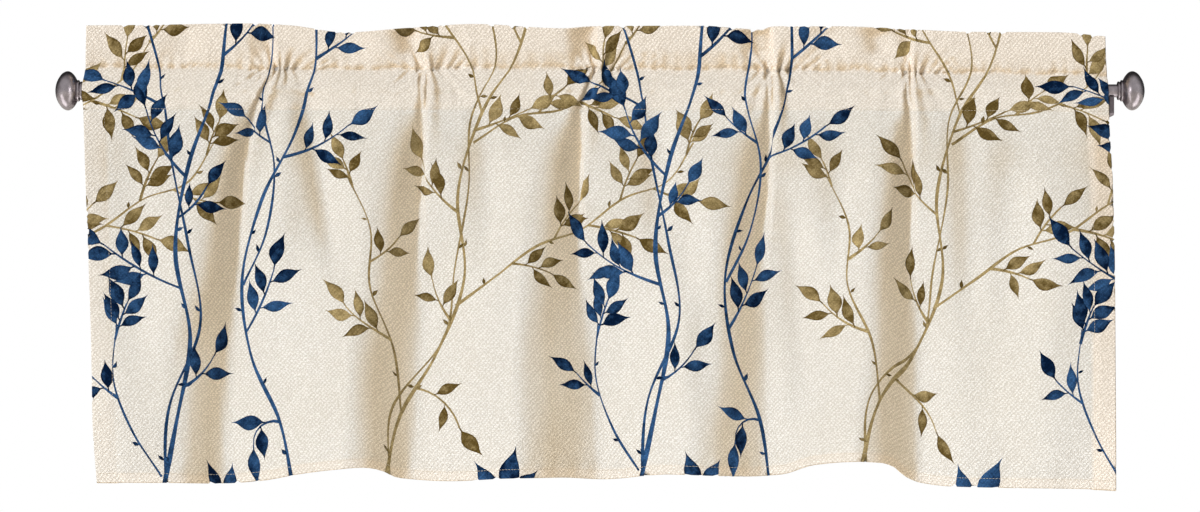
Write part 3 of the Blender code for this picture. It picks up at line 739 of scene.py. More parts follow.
LONE_LEAVES = table(
    LeafSpot, ("blue", 158, -16, 104, 34), ("blue", 164, -16, 66, 30), ("blue", 168, -18, 36, 32),
    ("blue", 452, -20, 112, 36), ("blue", 460, -20, 74, 44), ("blue", 466, -20, 40, 32),
)


class Breadth(NamedTuple):
    """How broad a leaf is at one place along its midrib, as shares of its length and breadth."""

    along: float
    share: float


LEAF_PROFILE = table(
    Breadth, (0, 0.1), (0.12, 0.11), (0.18, 0.3), (0.27, 0.64), (0.38, 0.92), (0.5, 1), (0.61, 0.88),
    (0.72, 0.62), (0.82, 0.33), (0.91, 0.13), (0.97, 0.06),
)
LEAF_BREADTH = 0.385
LEAF_GROWTH = 1.20  # how much larger the leaves are than the tables say
LEAF_TIP = 1.05  # along the midrib, past the profile's last row
TWIG_WIDTH = 2.4
FIRST_LEAF = 0.34  # where a twig's first leaf sits, as a share of its reach
LEAF_RUN = 0.62  # share of the reach from there to its last side leaf
LEAF_OPENS = (34, 56)  # degrees between a side leaf and its twig
BUD_STEP = 11  # steps along a stem from bud to bud
BUD_LENGTHS = (6.0, 8.5)
PATH_STEP = 7.0  # from point to point of a stem or twig
INK_ORDER = {"gold": 1, "blue": 2}


class Mark:
    """One printed shape on the flat cloth."""

    def __init__(self, ink, outline, tone, leaf=None):
        self.ink, self.outline, self.tone, self.leaf = ink, outline, tone, leaf

    def shade(self, spot):
        """(nearness to the middle, which half) of a point inside a leaf."""
        if self.leaf is None:
            return 0.95, 1.0
        base, way, length, breadth, bend = self.leaf
        from_base = spot - base
        along = float(from_base @ way) / length
        aside = float(way[0] * from_base[1] - way[1] * from_base[0]) - bend * length * along * along
        half = np.interp(along, *zip(*LEAF_PROFILE)) * breadth / 2
        return max(0.0, 1 - abs(aside) / max(half, 0.1)), 1.0 if aside > 0 else 0.0

    def lay(self, shift):
        """Put the shape in its place in the cut, (u, t), where t runs down."""
        self.shift = shift
        self.flat = self.outline * (1, -1) + shift


def leaf_mark(ink, base, heading, length, draw):
    """A pointed leaf on a short stalk, its midrib a little bent."""
    way = np.array((math.cos(heading), math.sin(heading)))
    side = np.array((-way[1], way[0]))
    length *= LEAF_GROWTH
    breadth = length * LEAF_BREADTH * draw.uniform(0.82, 1.14)
    bend = draw.uniform(-0.17, 0.17)
    fuller = draw.uniform(0.72, 1.28)  # breadth of the left half against an even leaf's

    def spot(along, aside):
        curl = bend * length * (along * along + 0.5 * max(0.0, along - 0.7) ** 2)
        return base + way * length * along + side * (aside * breadth / 2 + curl)

    left = [spot(a, w * fuller) for a, w in LEAF_PROFILE]
    right = [spot(a, -w * (2 - fuller)) for a, w in LEAF_PROFILE]
    outline = left + [spot(LEAF_TIP, 0.0)] + right[::-1]
    return Mark(ink, np.array(outline), draw.uniform(0, 1), (base, way, length, breadth, bend))


def stem_mark(ink, path, foot, tip, draw):
    """A tapering stem along a path, its width a little uneven."""
    steps = np.gradient(path, axis=0)
    steps /= np.linalg.norm(steps, axis=1, keepdims=True)
    side = np.stack([-steps[:, 1], steps[:, 0]], axis=1)
    share = np.linspace(0, 1, len(path))
    uneven = 1 + 0.22 * np.sin(share * len(path) / 2.3 + draw.uniform(0, 6))
    half = (foot + (tip - foot) * share) / 2 * uneven
    outline = np.concatenate([path + side * half[:, None], (path - side * half[:, None])[::-1]])
    return Mark(ink, outline, draw.uniform(0.2, 0.8))


def even_path(points, step):
    """A smooth path through the points, in even steps."""
    fine = smooth_path(points, 12)
    arc = arc_lengths(fine)
    at = np.linspace(0, arc[-1], max(3, int(arc[-1] / step)))
    return np.stack([np.interp(at, arc, values) for values in fine.T], axis=1)


def heading_at(path, i):
    """The way that a path takes at one of its points, as an angle."""
    way = path[i + 1] - path[i]
    return math.atan2(way[1], way[0])


def twig_marks(ink, start, heading, twig, draw):
    """The twig's own stalk, its leaves one after another on alternate sides, and one at its end."""
    count = max(6, int(twig.reach / PATH_STEP))
    step = twig.reach / count
    path, turn = [start], math.radians(-twig.side * twig.opens)
    headings = []
    for i in range(count):
        now = heading + turn + math.radians(twig.side * twig.bends) * i / count
        headings.append(now)
        path.append(path[-1] + step * np.array((math.cos(now), math.sin(now))))
    path = np.array(path)
    marks = [stem_mark(ink, path, TWIG_WIDTH * 1.2, TWIG_WIDTH * 0.6, draw)]
    side = twig.side
    for k in range(twig.leaves - 1):
        share = FIRST_LEAF + LEAF_RUN * k / max(1, twig.leaves - 1)
        i = min(int(share * count), count - 1)
        opening = math.radians(draw.uniform(*LEAF_OPENS))
        length = twig.leaf * draw.uniform(0.8, 1.0)
        marks.append(leaf_mark(ink, path[i], headings[i] + side * opening, length, draw))
        side = -side
    marks.append(leaf_mark(ink, path[-1], headings[-1] + draw.uniform(-0.2, 0.2), twig.leaf, draw))
    return marks


def bud_marks(ink, path, draw):
    """Small buds along a stem, now on one side and now on the other."""
    buds = []
    side = 1
    for i in range(5, len(path) - 3, BUD_STEP):
        heading = heading_at(path, i) + side * draw.uniform(0.6, 1.0)
        buds.append(leaf_mark(ink, path[i], heading, draw.uniform(*BUD_LENGTHS), draw))
        side = -side
    return buds


def one_repeat(draw):
    """Every printed shape of one repeat: stems with their buds, twigs with their leaves, lone leaves."""
    marks, paths = [], {}
    for stem in STEMS:
        path = even_path(stem.path, PATH_STEP)
        paths[stem.name] = (stem.ink, path)
        marks.append(stem_mark(stem.ink, path, stem.foot_width, stem.tip_width, draw))
        marks += bud_marks(stem.ink, path, draw)
    for stem, twigs in TWIGS.items():
        ink, path = paths[stem]
        for twig in twigs:
            i = min(int(twig.at * (len(path) - 1)), len(path) - 2)
            marks += twig_marks(ink, path[i], heading_at(path, i), twig, draw)
    for spot in LONE_LEAVES:
        base = np.array((spot.across, spot.rise), float)
        marks.append(leaf_mark(spot.ink, base, math.radians(spot.heading), spot.length, draw))
    return marks


def print_marks(sheet):
    """Every printed shape that reaches the cut cloth, lowest layer first, in (u, t)."""
    draw = np.random.default_rng(41)
    low, high = (-SIDE_HEM, sheet.start), (sheet.right + SIDE_HEM, sheet.end)
    kept = []
    for copy in range(-1, int(sheet.right / REPEAT) + 2):
        for mark in one_repeat(draw):
            mark.lay(np.array((PRINT_START + copy * REPEAT, sheet.bottom)))
            if np.all(mark.flat.max(axis=0) >= low) and np.all(mark.flat.min(axis=0) <= high):
                kept.append(mark)
    kept.sort(key=lambda m: (INK_ORDER[m.ink], m.leaf is not None))
    return kept


# ---------------------------------------------------------------- the cloth's mesh

KEY_WAY = (-0.620, -0.520, 0.588)  # from the cloth towards the key light
HIGHLIGHT_START = 1.16  # light on a ridge, against flat cloth's, past which painted shade tones its cream down
# share of the excess light that the painted shade takes off such a ridge
HIGHLIGHT_CUT = 0.8
SHADE_SPAN = 0.52  # loss of light over which painted warm shade comes into the cream of a fold
TO_ROOM_START = 0.3  # share of its facing towards the wall at which cloth begins to count as the front
TO_ROOM_SPAN = 0.5
CLOTH_SLOTS = ("cloth_plain", "cloth_blue", "cloth_gold", "back_plain", "back_blue", "back_gold")
INK_SLOTS = (0, 2, 1)  # slot of the plain cloth, gold and blue, by INK_ORDER
FOLD_SPACE = 8.0  # room that the tight turn at a fold line takes while the mesh is laid out
CLEAR_OF_FOLD = 2.2  # no point of a row lies nearer to a fold line, apart from the turn's own
BEND_STEP = 0.24  # bend of the cloth from one point of a row to the next
WIDEST_GAP = 7.0
SEAM_GAP = 1.8  # narrowest gap near the header seam
FINEST_GAP = 2.5
HEM_EDGE = 1.2  # width over which the shade of a doubled layer comes in


class Layers(NamedTuple):
    """How much of the layer behind the front shows in each part."""

    left_hem: float
    right_hem: float
    header: float
    pocket: float
    bottom_hem: float


LAYERS = Layers(0.3, 0.85, 0.8, 0.45, 0.5)


def stretch_knots(low_fold, high_fold, low, high):
    """Flat distance against laid-out distance, with room at the two fold lines."""
    flat = [low, low_fold - TURN_LENGTH, low_fold + TURN_LENGTH, high_fold - TURN_LENGTH,
            high_fold + TURN_LENGTH, high]
    grow = FOLD_SPACE - 2 * TURN_LENGTH
    laid = [low, flat[1], flat[2] + grow, flat[3] + grow, flat[4] + 2 * grow, high + 2 * grow]
    return flat, laid


def inside_ring(spots, ring):
    """Which spots lie inside a closed ring of points."""
    x, y = spots[:, 0], spots[:, 1]
    inside = np.zeros(len(spots), bool)
    for (ax, ay), (bx, by) in zip(ring, np.roll(ring, -1, axis=0)):
        if ay != by:
            crosses = (ay > y) != (by > y)
            inside ^= crosses & (x < ax + (y - ay) * (bx - ax) / (by - ay))
    return inside


class Layout:
    """Triangles over the flat cut, denser where the cloth bends, with the print's edges kept."""

    def __init__(self, sheet, marks):
        self.sheet = sheet
        u_knots = stretch_knots(0.0, sheet.right, -60.0, sheet.right + 60)
        t_knots = stretch_knots(0.0, sheet.bottom, sheet.start - 5, sheet.end + 5)
        corners, self.area = sheet.outline()
        points, edges = [], []

        def add(u, t):
            points.extend(Vector(p) for p in zip(np.interp(u, *u_knots), np.interp(t, *t_knots)))

        for ring in [corners] + [mark.flat for mark in marks]:
            first = len(points)
            add(ring[:, 0], ring[:, 1])
            last = len(points)
            edges += [(i, i + 1) for i in range(first, last - 1)] + [(last - 1, first)]
        for t, (low, high) in self.rows():
            u = self.columns(t, low, high)
            add(u, np.full_like(u, t))
        result = delaunay_2d_cdt(points, edges, [], 0, 1e-4, False)
        laid = np.array([v[:] for v in result[0]])
        self.u = np.interp(laid[:, 0], *u_knots[::-1])
        self.t = np.interp(laid[:, 1], *t_knots[::-1])
        triangles = np.array([triangle for triangle in result[2] if len(triangle) == 3])
        a, b, c = (laid[triangles[:, i]] for i in range(3))
        turn = (b[:, 0] - a[:, 0]) * (c[:, 1] - a[:, 1]) - (b[:, 1] - a[:, 1]) * (c[:, 0] - a[:, 0])
        triangles[turn < 0] = triangles[turn < 0][:, ::-1]
        middles = np.stack([self.u, self.t], axis=1)[triangles].mean(axis=1)
        cut = inside_ring(middles, corners) & (np.abs(turn) > 1e-9)
        self.triangles, middles = triangles[cut], middles[cut]
        self.owner = np.full(len(middles), -1)
        for i, mark in enumerate(marks):
            low, high = mark.flat.min(axis=0), mark.flat.max(axis=0)
            near = np.nonzero(np.all((middles > low) & (middles < high), axis=1))[0]
            self.owner[near[inside_ring(middles[near], mark.flat)]] = i

    def rows(self):
        """Heights in the flat cut at which rows of points lie, with the ends of each."""
        s = self.sheet
        behind, front, wide = (SIDE_HEM, s.right), (0.0, s.right), (-SIDE_HEM, s.right + SIDE_HEM)
        seam = SEAM_DROP + TURN_LENGTH
        bands = (
            (behind, np.linspace(s.start, s.seam - 4, 9)),
            (front, np.linspace(s.seam, -4, 11)),
            (front, TURN_STEPS),
            (front, np.arange(4.0, seam - 14, 3.6)),
            (front, np.arange(seam - 13, seam + 20, 2.0)),
            (front, np.arange(seam + 20.5, s.pocket + 1, 2.6)),
            (wide, np.arange(s.pocket + 2, s.pocket + 22, 3.0)),
            (wide, np.arange(s.pocket + 24, s.bottom - 17, 6.0)),
            (wide, np.arange(s.bottom - 15, s.bottom - 3, 2.2)),
            (front, [s.bottom + step for step in TURN_STEPS]),
            (front, np.linspace(s.bottom + 3, s.end, 3)),
        )
        return [(t, ends) for ends, heights in bands for t in heights]

    def columns(self, t, low, high):
        """Places of the points in one row: close together where the cloth bends."""
        s = self.sheet
        u = np.arange(low, high, 1.0)
        inner = np.clip(u, 2.0, s.right - 2.0)
        drop = np.clip(np.full_like(u, min(abs(t), 2 * s.bottom - t)), 1.0, FRONT_DROP - 1.0)
        bend = np.linalg.norm(np.gradient(s.drape.look_up(s.drape.normals, inner, drop), axis=0), axis=1)
        bend = np.convolve(bend, np.ones(5) / 5, mode="same")
        finest = SEAM_GAP if abs(drop[0] - SEAM_DROP) < 12 else FINEST_GAP
        gap = np.clip(BEND_STEP / np.maximum(bend, 1e-4), finest, WIDEST_GAP)
        density = np.cumsum(1 / gap)
        steps = max(2, int(density[-1]))
        spots = np.interp(np.linspace(density[0], density[-1], steps + 1), density, u)
        lines = [low, high]
        for line in (0.0, s.right):
            spots = spots[np.abs(spots - line) > CLEAR_OF_FOLD]
            lines += [line + step for step in TURN_STEPS if low <= line + step <= high]
        return np.unique(np.concatenate([spots[(spots > low + 1) & (spots < high - 1)], lines]))


def layers_behind(sheet, u, t):
    """How much of the layers behind shows at each flat point."""
    doubled = LAYERS.bottom_hem * smooth_step((BOTTOM_HEM + 1 - np.abs(t - sheet.bottom)) / HEM_EDGE)
    below = smooth_step((t - sheet.pocket - 1) / 2)
    for near_side, share in ((u, LAYERS.left_hem), (sheet.right - u, LAYERS.right_hem)):
        doubled = np.maximum(doubled, share * below * smooth_step((SIDE_HEM + 1 - near_side) / HEM_EDGE))
    for level, share in ((SEAM_DROP + TURN_LENGTH, LAYERS.header), (sheet.pocket, LAYERS.pocket)):
        doubled = np.maximum(doubled, share * smooth_step((level - np.abs(t)) / HEM_EDGE))
    return doubled


def shade_and_highlight(facing):
    """How far each point turns away from the key light, and how far past flat cloth it turns to it: the masks
    of the painted fold shade and of the painted toning-down of highlights.
    """
    flat_share = -KEY_WAY[1] / np.linalg.norm(KEY_WAY)
    lit = facing @ (np.array(KEY_WAY) / np.linalg.norm(KEY_WAY)) / flat_share
    to_room = smooth_step((TO_ROOM_START - facing[:, 1]) / TO_ROOM_SPAN)
    # Painted shade: the share of the warm fold tint grows as a point turns away from the key light.
    turned = smooth_step((1.0 - lit) / SHADE_SPAN) * to_room
    # Painted shade on ridges that turn to the key light, toning down their highlight.
    ridge = HIGHLIGHT_CUT * np.maximum(lit - HIGHLIGHT_START, 0) / np.maximum(lit, HIGHLIGHT_START)
    return turned, ridge * to_room


def cut_edges(triangles, count):
    """Two triangles on each cut edge, between the printed side and the one behind it."""
    sides = {}
    for a, b, c in triangles:
        for edge in ((a, b), (b, c), (c, a)):
            if edge[::-1] in sides:
                del sides[edge[::-1]]
            else:
                sides[edge] = True
    rim = []
    for a, b in sides:
        rim += [(a, b, b + count), (a, b + count, a + count)]
    return np.array(rim)


def print_shades(layout, marks, corners):
    """Colour of each corner: a mark's tone, nearness to its middle and which half, on both sides."""
    leaf = np.zeros((corners, 4))
    leaf[:, 3] = 1
    flat = np.stack([layout.u, layout.t], axis=1)
    back = 3 * len(layout.triangles)
    for i in np.nonzero(layout.owner >= 0)[0]:
        mark = marks[layout.owner[i]]
        for corner, vertex in enumerate(layout.triangles[i]):
            value = (mark.tone, *mark.shade((flat[vertex] - mark.shift) * (1, -1)))
            leaf[3 * i + 2 - corner, :3] = value
            leaf[back + 3 * i + corner, :3] = value
    return leaf


def make_cloth_mesh(sheet, layout, marks, thickness):
    """Both faces of the cloth and its cut edges, as one closed mesh with its attributes."""
    middle, facing = sheet.place(layout.u, layout.t)
    half, triangles = thickness / 2, layout.triangles
    vertices = np.concatenate([middle + half * facing, middle - half * facing]) * MM
    rim = cut_edges(triangles, len(middle))
    # (u, t) runs right and down, so a triangle that turns anticlockwise there faces the other side.
    faces = np.concatenate([triangles[:, ::-1], triangles + len(middle), rim])
    mesh = bpy.data.meshes.new("valance_cloth_skin")
    mesh.from_pydata(vertices.tolist(), [], faces.tolist())

    inks = np.array([0] + [INK_SLOTS[INK_ORDER[mark.ink]] for mark in marks])
    front_slot = inks[layout.owner + 1]
    slots = np.concatenate([front_slot, front_slot + 3, np.zeros(len(rim), int)])
    mesh.polygons.foreach_set("material_index", slots)

    loops = np.zeros(len(mesh.loops), int)
    mesh.loops.foreach_get("vertex_index", loops)
    flat = np.tile(np.stack([layout.u, layout.t], axis=1) * MM, (2, 1))
    mesh.uv_layers.new(name="cut").data.foreach_set("uv", flat[loops].ravel())
    colours = mesh.color_attributes.new(name="leaf", type="FLOAT_COLOR", domain="CORNER")
    colours.data.foreach_set("color", print_shades(layout, marks, len(loops)).ravel())
    doubled = layers_behind(sheet, layout.u, layout.t)
    turned, ridge = shade_and_highlight(facing)
    # The turned and ridge attributes carry painted shade: a warm tint where the cloth turns from the key
    # light, a darkening where it turns to it.
    for name, front, back in (("layers", doubled, 1), ("turned", turned, 0), ("ridge", ridge, 0)):
        attribute = mesh.attributes.new(name, "FLOAT", "POINT")
        attribute.data.foreach_set("value", np.concatenate([front, back * front]))

    mesh.shade_smooth()
    mesh.update()
    flats = np.zeros(3 * len(mesh.polygons))
    mesh.polygons.foreach_get("normal", flats)
    rim_normals = np.repeat(flats.reshape(-1, 3)[-len(rim) :], 3, axis=0)
    corner_normals = np.concatenate([facing, -facing])[loops]
    corner_normals[-len(rim_normals) :] = rim_normals
    mesh.normals_split_custom_set(corner_normals.tolist())
    mesh.validate()
    return mesh


# ---------------------------------------------------------------- sewing

SEWN_LINE_MARGIN = 3.0


def sewn_lines(sheet):
    """Flat paths of the machine sewing, seen from the room and from the wall."""
    right, margin = sheet.right, SEWN_LINE_MARGIN
    seam = SEAM_DROP + TURN_LENGTH
    hem = BOTTOM_HEM - 1.0
    edge = SIDE_HEM - 1.0
    top, foot = sheet.pocket + margin, sheet.bottom - hem
    back_top, back_foot = sheet.pocket + 2 * margin, sheet.bottom - BOTTOM_HEM - margin
    return (
        ((margin, seam), (right - margin, seam)),
        ((margin, sheet.pocket), (right - margin, sheet.pocket)),
        ((margin, foot), (right - margin, foot)),
        ((edge, top), (edge, foot)),
        ((right - edge, top), (right - edge, foot)),
        ((margin, sheet.seam + 0.5), (right - margin, sheet.seam + 0.5)),
        ((SIDE_HEM + margin, sheet.start + 1.5), (right - margin, sheet.start + 1.5)),
        ((margin, sheet.bottom + hem), (right - margin, sheet.bottom + hem)),
        ((-edge, back_top), (-edge, back_foot)),
        ((right + edge, back_top), (right + edge, back_foot)),
    )


STITCH_BODY = 0.55  # share of a stitch that lies straight on the cloth
STITCH_END = 0.225  # share that dips into it at either end
STITCH_DIP = 0.9  # how deep, in thread radii
STITCH_SUNK = 0.45  # height of the thread's axis above the cloth, in thread radii


def model_stitch(length, radius):
    """One stitch lying along X on the cloth: a short thread whose two ends dip into it."""
    body = STITCH_BODY * length * MM
    r = radius * MM
    clear_selection()
    bpy.ops.mesh.primitive_cylinder_add(vertices=6, radius=r, depth=body, rotation=(0, math.radians(90), 0))
    stitch = bpy.context.active_object
    bpy.ops.object.transform_apply(location=True, rotation=True, scale=True)
    for way in (-1, 1):
        end = way * body / 2
        edit_faces(stitch, lambda face: abs(face.center.x - end) < 1e-6)
        drop = (way * STITCH_END * length * MM, 0, -STITCH_DIP * r)
        bpy.ops.mesh.extrude_region_move(TRANSFORM_OT_translate={"value": drop})
        bpy.ops.transform.resize(value=(0.5, 0.5, 0.5))
        bpy.ops.object.mode_set(mode="OBJECT")
    vertices = np.array([v.co[:] for v in stitch.data.vertices])
    faces = [tuple(p.vertices) for p in stitch.data.polygons]
    bpy.data.objects.remove(stitch, do_unlink=True)
    return vertices, faces


def stitch_mesh(sheet, cloth, sewing):
    """All stitches of all seams, copies of one, laid on the cloth's faces."""
    vertices, faces = model_stitch(sewing.stitch_length, sewing.thread_radius)
    lift = cloth.thickness / 2 + STITCH_SUNK * sewing.thread_radius
    all_vertices, all_faces = [], []
    for start, end in sewn_lines(sheet):
        start, end = np.array(start), np.array(end)
        length = np.linalg.norm(end - start)
        count = int(length / sewing.stitch_pitch)
        middles = start + (end - start) * ((np.arange(count) + 0.5) / count)[:, None]
        ahead = middles + 0.4 * (end - start) / length
        middle, facing = sheet.place(*middles.T)
        along = sheet.place(*ahead.T)[0] - middle
        along -= facing * np.sum(along * facing, axis=1, keepdims=True)
        along /= np.linalg.norm(along, axis=1, keepdims=True)
        for m, f, a, s in zip(middle, facing, along, np.cross(facing, along)):
            first = len(all_vertices) * len(vertices)
            laid = (m + lift * f) * MM + vertices[:, :1] * a + vertices[:, 1:2] * s + vertices[:, 2:] * f
            all_vertices.append(laid)
            all_faces += [tuple(i + first for i in face) for face in faces]
    mesh = bpy.data.meshes.new("sewing_thread")
    mesh.from_pydata(np.concatenate(all_vertices).tolist(), [], all_faces)
    mesh.shade_smooth()
    return mesh


# ---------------------------------------------------------------- modelling by hand


def clear_selection():
    """Out of edit mode, with nothing selected."""
    if bpy.context.object and bpy.context.object.mode != "OBJECT":
        bpy.ops.object.mode_set(mode="OBJECT")
    bpy.ops.object.select_all(action="DESELECT")


def edit_faces(obj, chosen):
    """Into edit mode with only the faces selected that chosen() picks."""
    mesh = obj.data
    for group in (mesh.vertices, mesh.edges, mesh.polygons):
        group.foreach_set("select", [False] * len(group))
    for face in mesh.polygons:
        face.select = chosen(face)
    bpy.context.tool_settings.mesh_select_mode = (False, False, True)
    bpy.ops.object.mode_set(mode="EDIT")


class Lathe(NamedTuple):
    """One point of the finial's outline, in millimetres from the rod's end."""

    along: float
    radius: float


SPIGOT = table(Lathe, (-18, 4.4), (-17.2, 5.2), (0.3, 5.2))
COLLAR = table(
    Lathe, (0.3, 8.5), (0.55, 9.1), (1, 9.35), (1.9, 9.35), (2.4, 9.1), (2.7, 8.5), (2.8, 7.9), (3.2, 7.9),
    (3.3, 9.6), (3.55, 10.4), (4.1, 10.75), (5.1, 10.75), (5.6, 10.4), (5.8, 9.8),
)
KNOB = table(
    Lathe, (6, 11), (6.7, 12.4), (8.2, 14.9), (10.4, 17.5), (12.6, 19.1), (15.2, 19.7), (18, 19), (20.9, 17),
    (23.6, 13.5), (25.9, 9), (27.1, 4.6), (27.55, 1.4),
)
KNOB_CLOSE = 0.05  # from the last ring to the knob's outermost point
SHARP_EDGE = math.radians(38)


def turn_knob(name, side, sides):
    """A finial turned ring by ring along the rod's axis: spigot, two collar beads and knob."""
    outline = [*SPIGOT, *COLLAR, *smooth_path(KNOB, 3)]
    axis = Vector((0, -ROD_FROM_WALL * MM, 0))

    def centre(along):
        return axis + Vector((side * (ROD_HALF_LENGTH + along) * MM, 0, 0))

    clear_selection()
    bpy.ops.mesh.primitive_circle_add(
        vertices=sides, radius=outline[0][1] * MM, fill_type="TRIFAN", location=centre(outline[0][0]),
        rotation=(0, math.radians(90), 0),
    )
    obj = bpy.context.active_object
    obj.name = name
    bpy.ops.object.transform_apply(location=True, rotation=True, scale=True)
    bpy.ops.object.mode_set(mode="EDIT")
    bpy.context.tool_settings.mesh_select_mode = (False, True, False)
    bpy.ops.mesh.select_all(action="DESELECT")
    bpy.ops.mesh.select_non_manifold()
    for (before, old), (along, radius) in zip(outline, outline[1:]):
        move = (side * (along - before) * MM, 0, 0)
        bpy.ops.mesh.extrude_edges_move(TRANSFORM_OT_translate={"value": move})
        bpy.ops.transform.resize(value=(1, radius / old, radius / old), center_override=centre(along))
    bpy.ops.mesh.extrude_edges_move(TRANSFORM_OT_translate={"value": (side * KNOB_CLOSE * MM, 0, 0)})
    bpy.ops.mesh.merge(type="CENTER")
    bpy.ops.mesh.select_all(action="SELECT")
    bpy.ops.mesh.remove_doubles(threshold=1e-7)
    bpy.ops.mesh.normals_make_consistent(inside=False)
    bpy.ops.object.mode_set(mode="OBJECT")
    bpy.ops.object.shade_smooth_by_angle(angle=SHARP_EDGE)
    return obj


# ---------------------------------------------------------------- materials

WHITE = (1.0, 1.0, 1.0)
BLACK = (0.0, 0.0, 0.0)


class Wiring:
    """A node tree, wired one by one."""

    def __init__(self, tree):
        self.tree = tree

    def feed(self, socket, value):
        if isinstance(value, bpy.types.NodeSocket):
            self.tree.links.new(value, socket)
        else:
            socket.default_value = value

    def node(self, kind, inputs=(), **settings):
        made = self.tree.nodes.new(kind)
        for key, value in settings.items():
            setattr(made, key, value)
        for key, value in dict(inputs).items():
            self.feed(made.inputs[key], value)
        return made

    def maths(self, operation, *values):
        return self.node("ShaderNodeMath", dict(enumerate(values)), operation=operation).outputs[0]

    def add(self, total, *others):
        for value in others:
            total = self.maths("ADD", total, value)
        return total

    def times(self, a, b):
        return self.maths("MULTIPLY", a, b)

    def wave(self, value, pace):
        return self.maths("SINE", self.times(value, pace))

    def fit(self, value, low, high, to_low=0.0, to_high=1.0, **settings):
        inputs = {0: value, 1: low, 2: high, 3: to_low, 4: to_high}
        return self.node("ShaderNodeMapRange", inputs, **settings).outputs[0]

    def blend(self, share, a, b, how="MIX"):
        made = self.node("ShaderNodeMix", {0: share}, data_type="RGBA", blend_type=how)
        for i, colour in ((6, a), (7, b)):
            self.feed(made.inputs[i], colour if isinstance(colour, bpy.types.NodeSocket) else (*colour, 1.0))
        return made.outputs[2]

    def noise(self, where, scale, detail=2.0, roughness=0.5):
        inputs = {"Vector": where, "Scale": scale, "Detail": detail, "Roughness": roughness}
        return self.node("ShaderNodeTexNoise", inputs).outputs["Fac"]

    def attribute(self, name, output="Fac"):
        return self.node("ShaderNodeAttribute", attribute_name=name).outputs[output]


class Recipe(Wiring):
    """A material and its nodes."""

    def __init__(self, name):
        self.material = bpy.data.materials.new(name)
        self.material.use_nodes = True
        super().__init__(self.material.node_tree)
        self.shader = self.tree.nodes["Principled BSDF"].inputs

    def place(self):
        return self.node("ShaderNodeTexCoord").outputs["Object"]

    def finish(self, colour, roughness, height, depth, strength=1.0, **others):
        """Feed the shader; others are inputs of its own, with _ for a space."""
        bump = self.node("ShaderNodeBump", {"Height": height, "Distance": depth, "Strength": strength})
        self.feed(self.shader["Base Color"], colour)
        self.feed(self.shader["Roughness"], roughness)
        self.feed(self.shader["Normal"], bump.outputs[0])
        for name, value in others.items():
            self.feed(self.shader[name.replace("_", " ")], value)
        return self.material


WANDER = 2.6  # how far the weave's rows stray, slowly, in millimetres
SHIVER = 3.0  # and from thread to thread
GRAIN = 0.48
DOT_PACE = 1.18  # dots along a row against rows
THREAD_PITCH = 0.42  # single threads against rows
WEAVE_LOW = (0.775, 0.752, 0.715)  # share of the colour left between the weave's rows: partly the yarn's own tone, partly painted shade in the hollows
# share of the colour on the rows' tops: partly the yarn's own tone, partly painted light
WEAVE_HIGH = (1.105, 1.112, 1.122)
WEAVE_DEPTH = 0.28
LAYER_SHOWS = 0.75
PRINT_THROUGH = 0.42  # how much of the print shows on the wrong side


def weave_of(recipe, pitch):
    """Coarse dotted weave in slanting rows, from the flat cut: its height, and the cut's own place."""
    uv = recipe.node("ShaderNodeUVMap", uv_map="cut").outputs[0]
    place = recipe.node("ShaderNodeMapping", {"Vector": uv, "Scale": (1000.0, 1000.0, 1000.0)}).outputs[0]
    split = recipe.node("ShaderNodeSeparateXYZ", {0: place}).outputs
    u, t = split[0], split[1]
    wander = recipe.fit(recipe.noise(place, 0.09, 1.0), 0.0, 1.0, -WANDER, WANDER)
    shiver = recipe.fit(recipe.noise(place, 0.42, 1.0), 0.0, 1.0, -SHIVER, SHIVER)
    row_pace = 2 * math.pi / (pitch * math.sqrt(2))
    rows = recipe.wave(recipe.add(u, t, wander, shiver), row_pace)
    dots = recipe.wave(recipe.add(recipe.maths("SUBTRACT", u, t), shiver), row_pace * DOT_PACE)
    threads, picks = (recipe.wave(way, 2 * math.pi / (pitch * THREAD_PITCH)) for way in (u, t))
    dotted = recipe.times(recipe.fit(rows, -1.0, 1.0), recipe.fit(dots, -1.0, 1.0, 0.12, 1.0))
    fine = recipe.times(recipe.times(threads, picks), 0.22)
    grain = recipe.fit(recipe.noise(place, 0.8), 0.25, 0.75, -GRAIN, GRAIN)
    return recipe.add(dotted, fine, grain), place


def stain(recipe, place, dark, light):
    """The print's ink: a cloudy wash, darker at a leaf's rim, lighter along its midrib."""
    parts = recipe.node("ShaderNodeSeparateColor", {0: recipe.attribute("leaf", "Color")}).outputs
    tone, middle, half = parts[0], parts[1], parts[2]
    wash = recipe.add(
        recipe.fit(recipe.noise(place, 0.10, 4.0, 0.62), 0.34, 0.66, 0.0, 0.66),
        recipe.fit(tone, 0.0, 1.0, -0.34, 0.34),
        recipe.fit(half, 0.0, 1.0, -0.05, 0.14),
        recipe.fit(middle, 0.0, 0.30, -0.34, 0.0),
        recipe.fit(middle, 0.86, 1.0, 0.0, 0.22),
    )
    return recipe.blend(wash, dark, light)


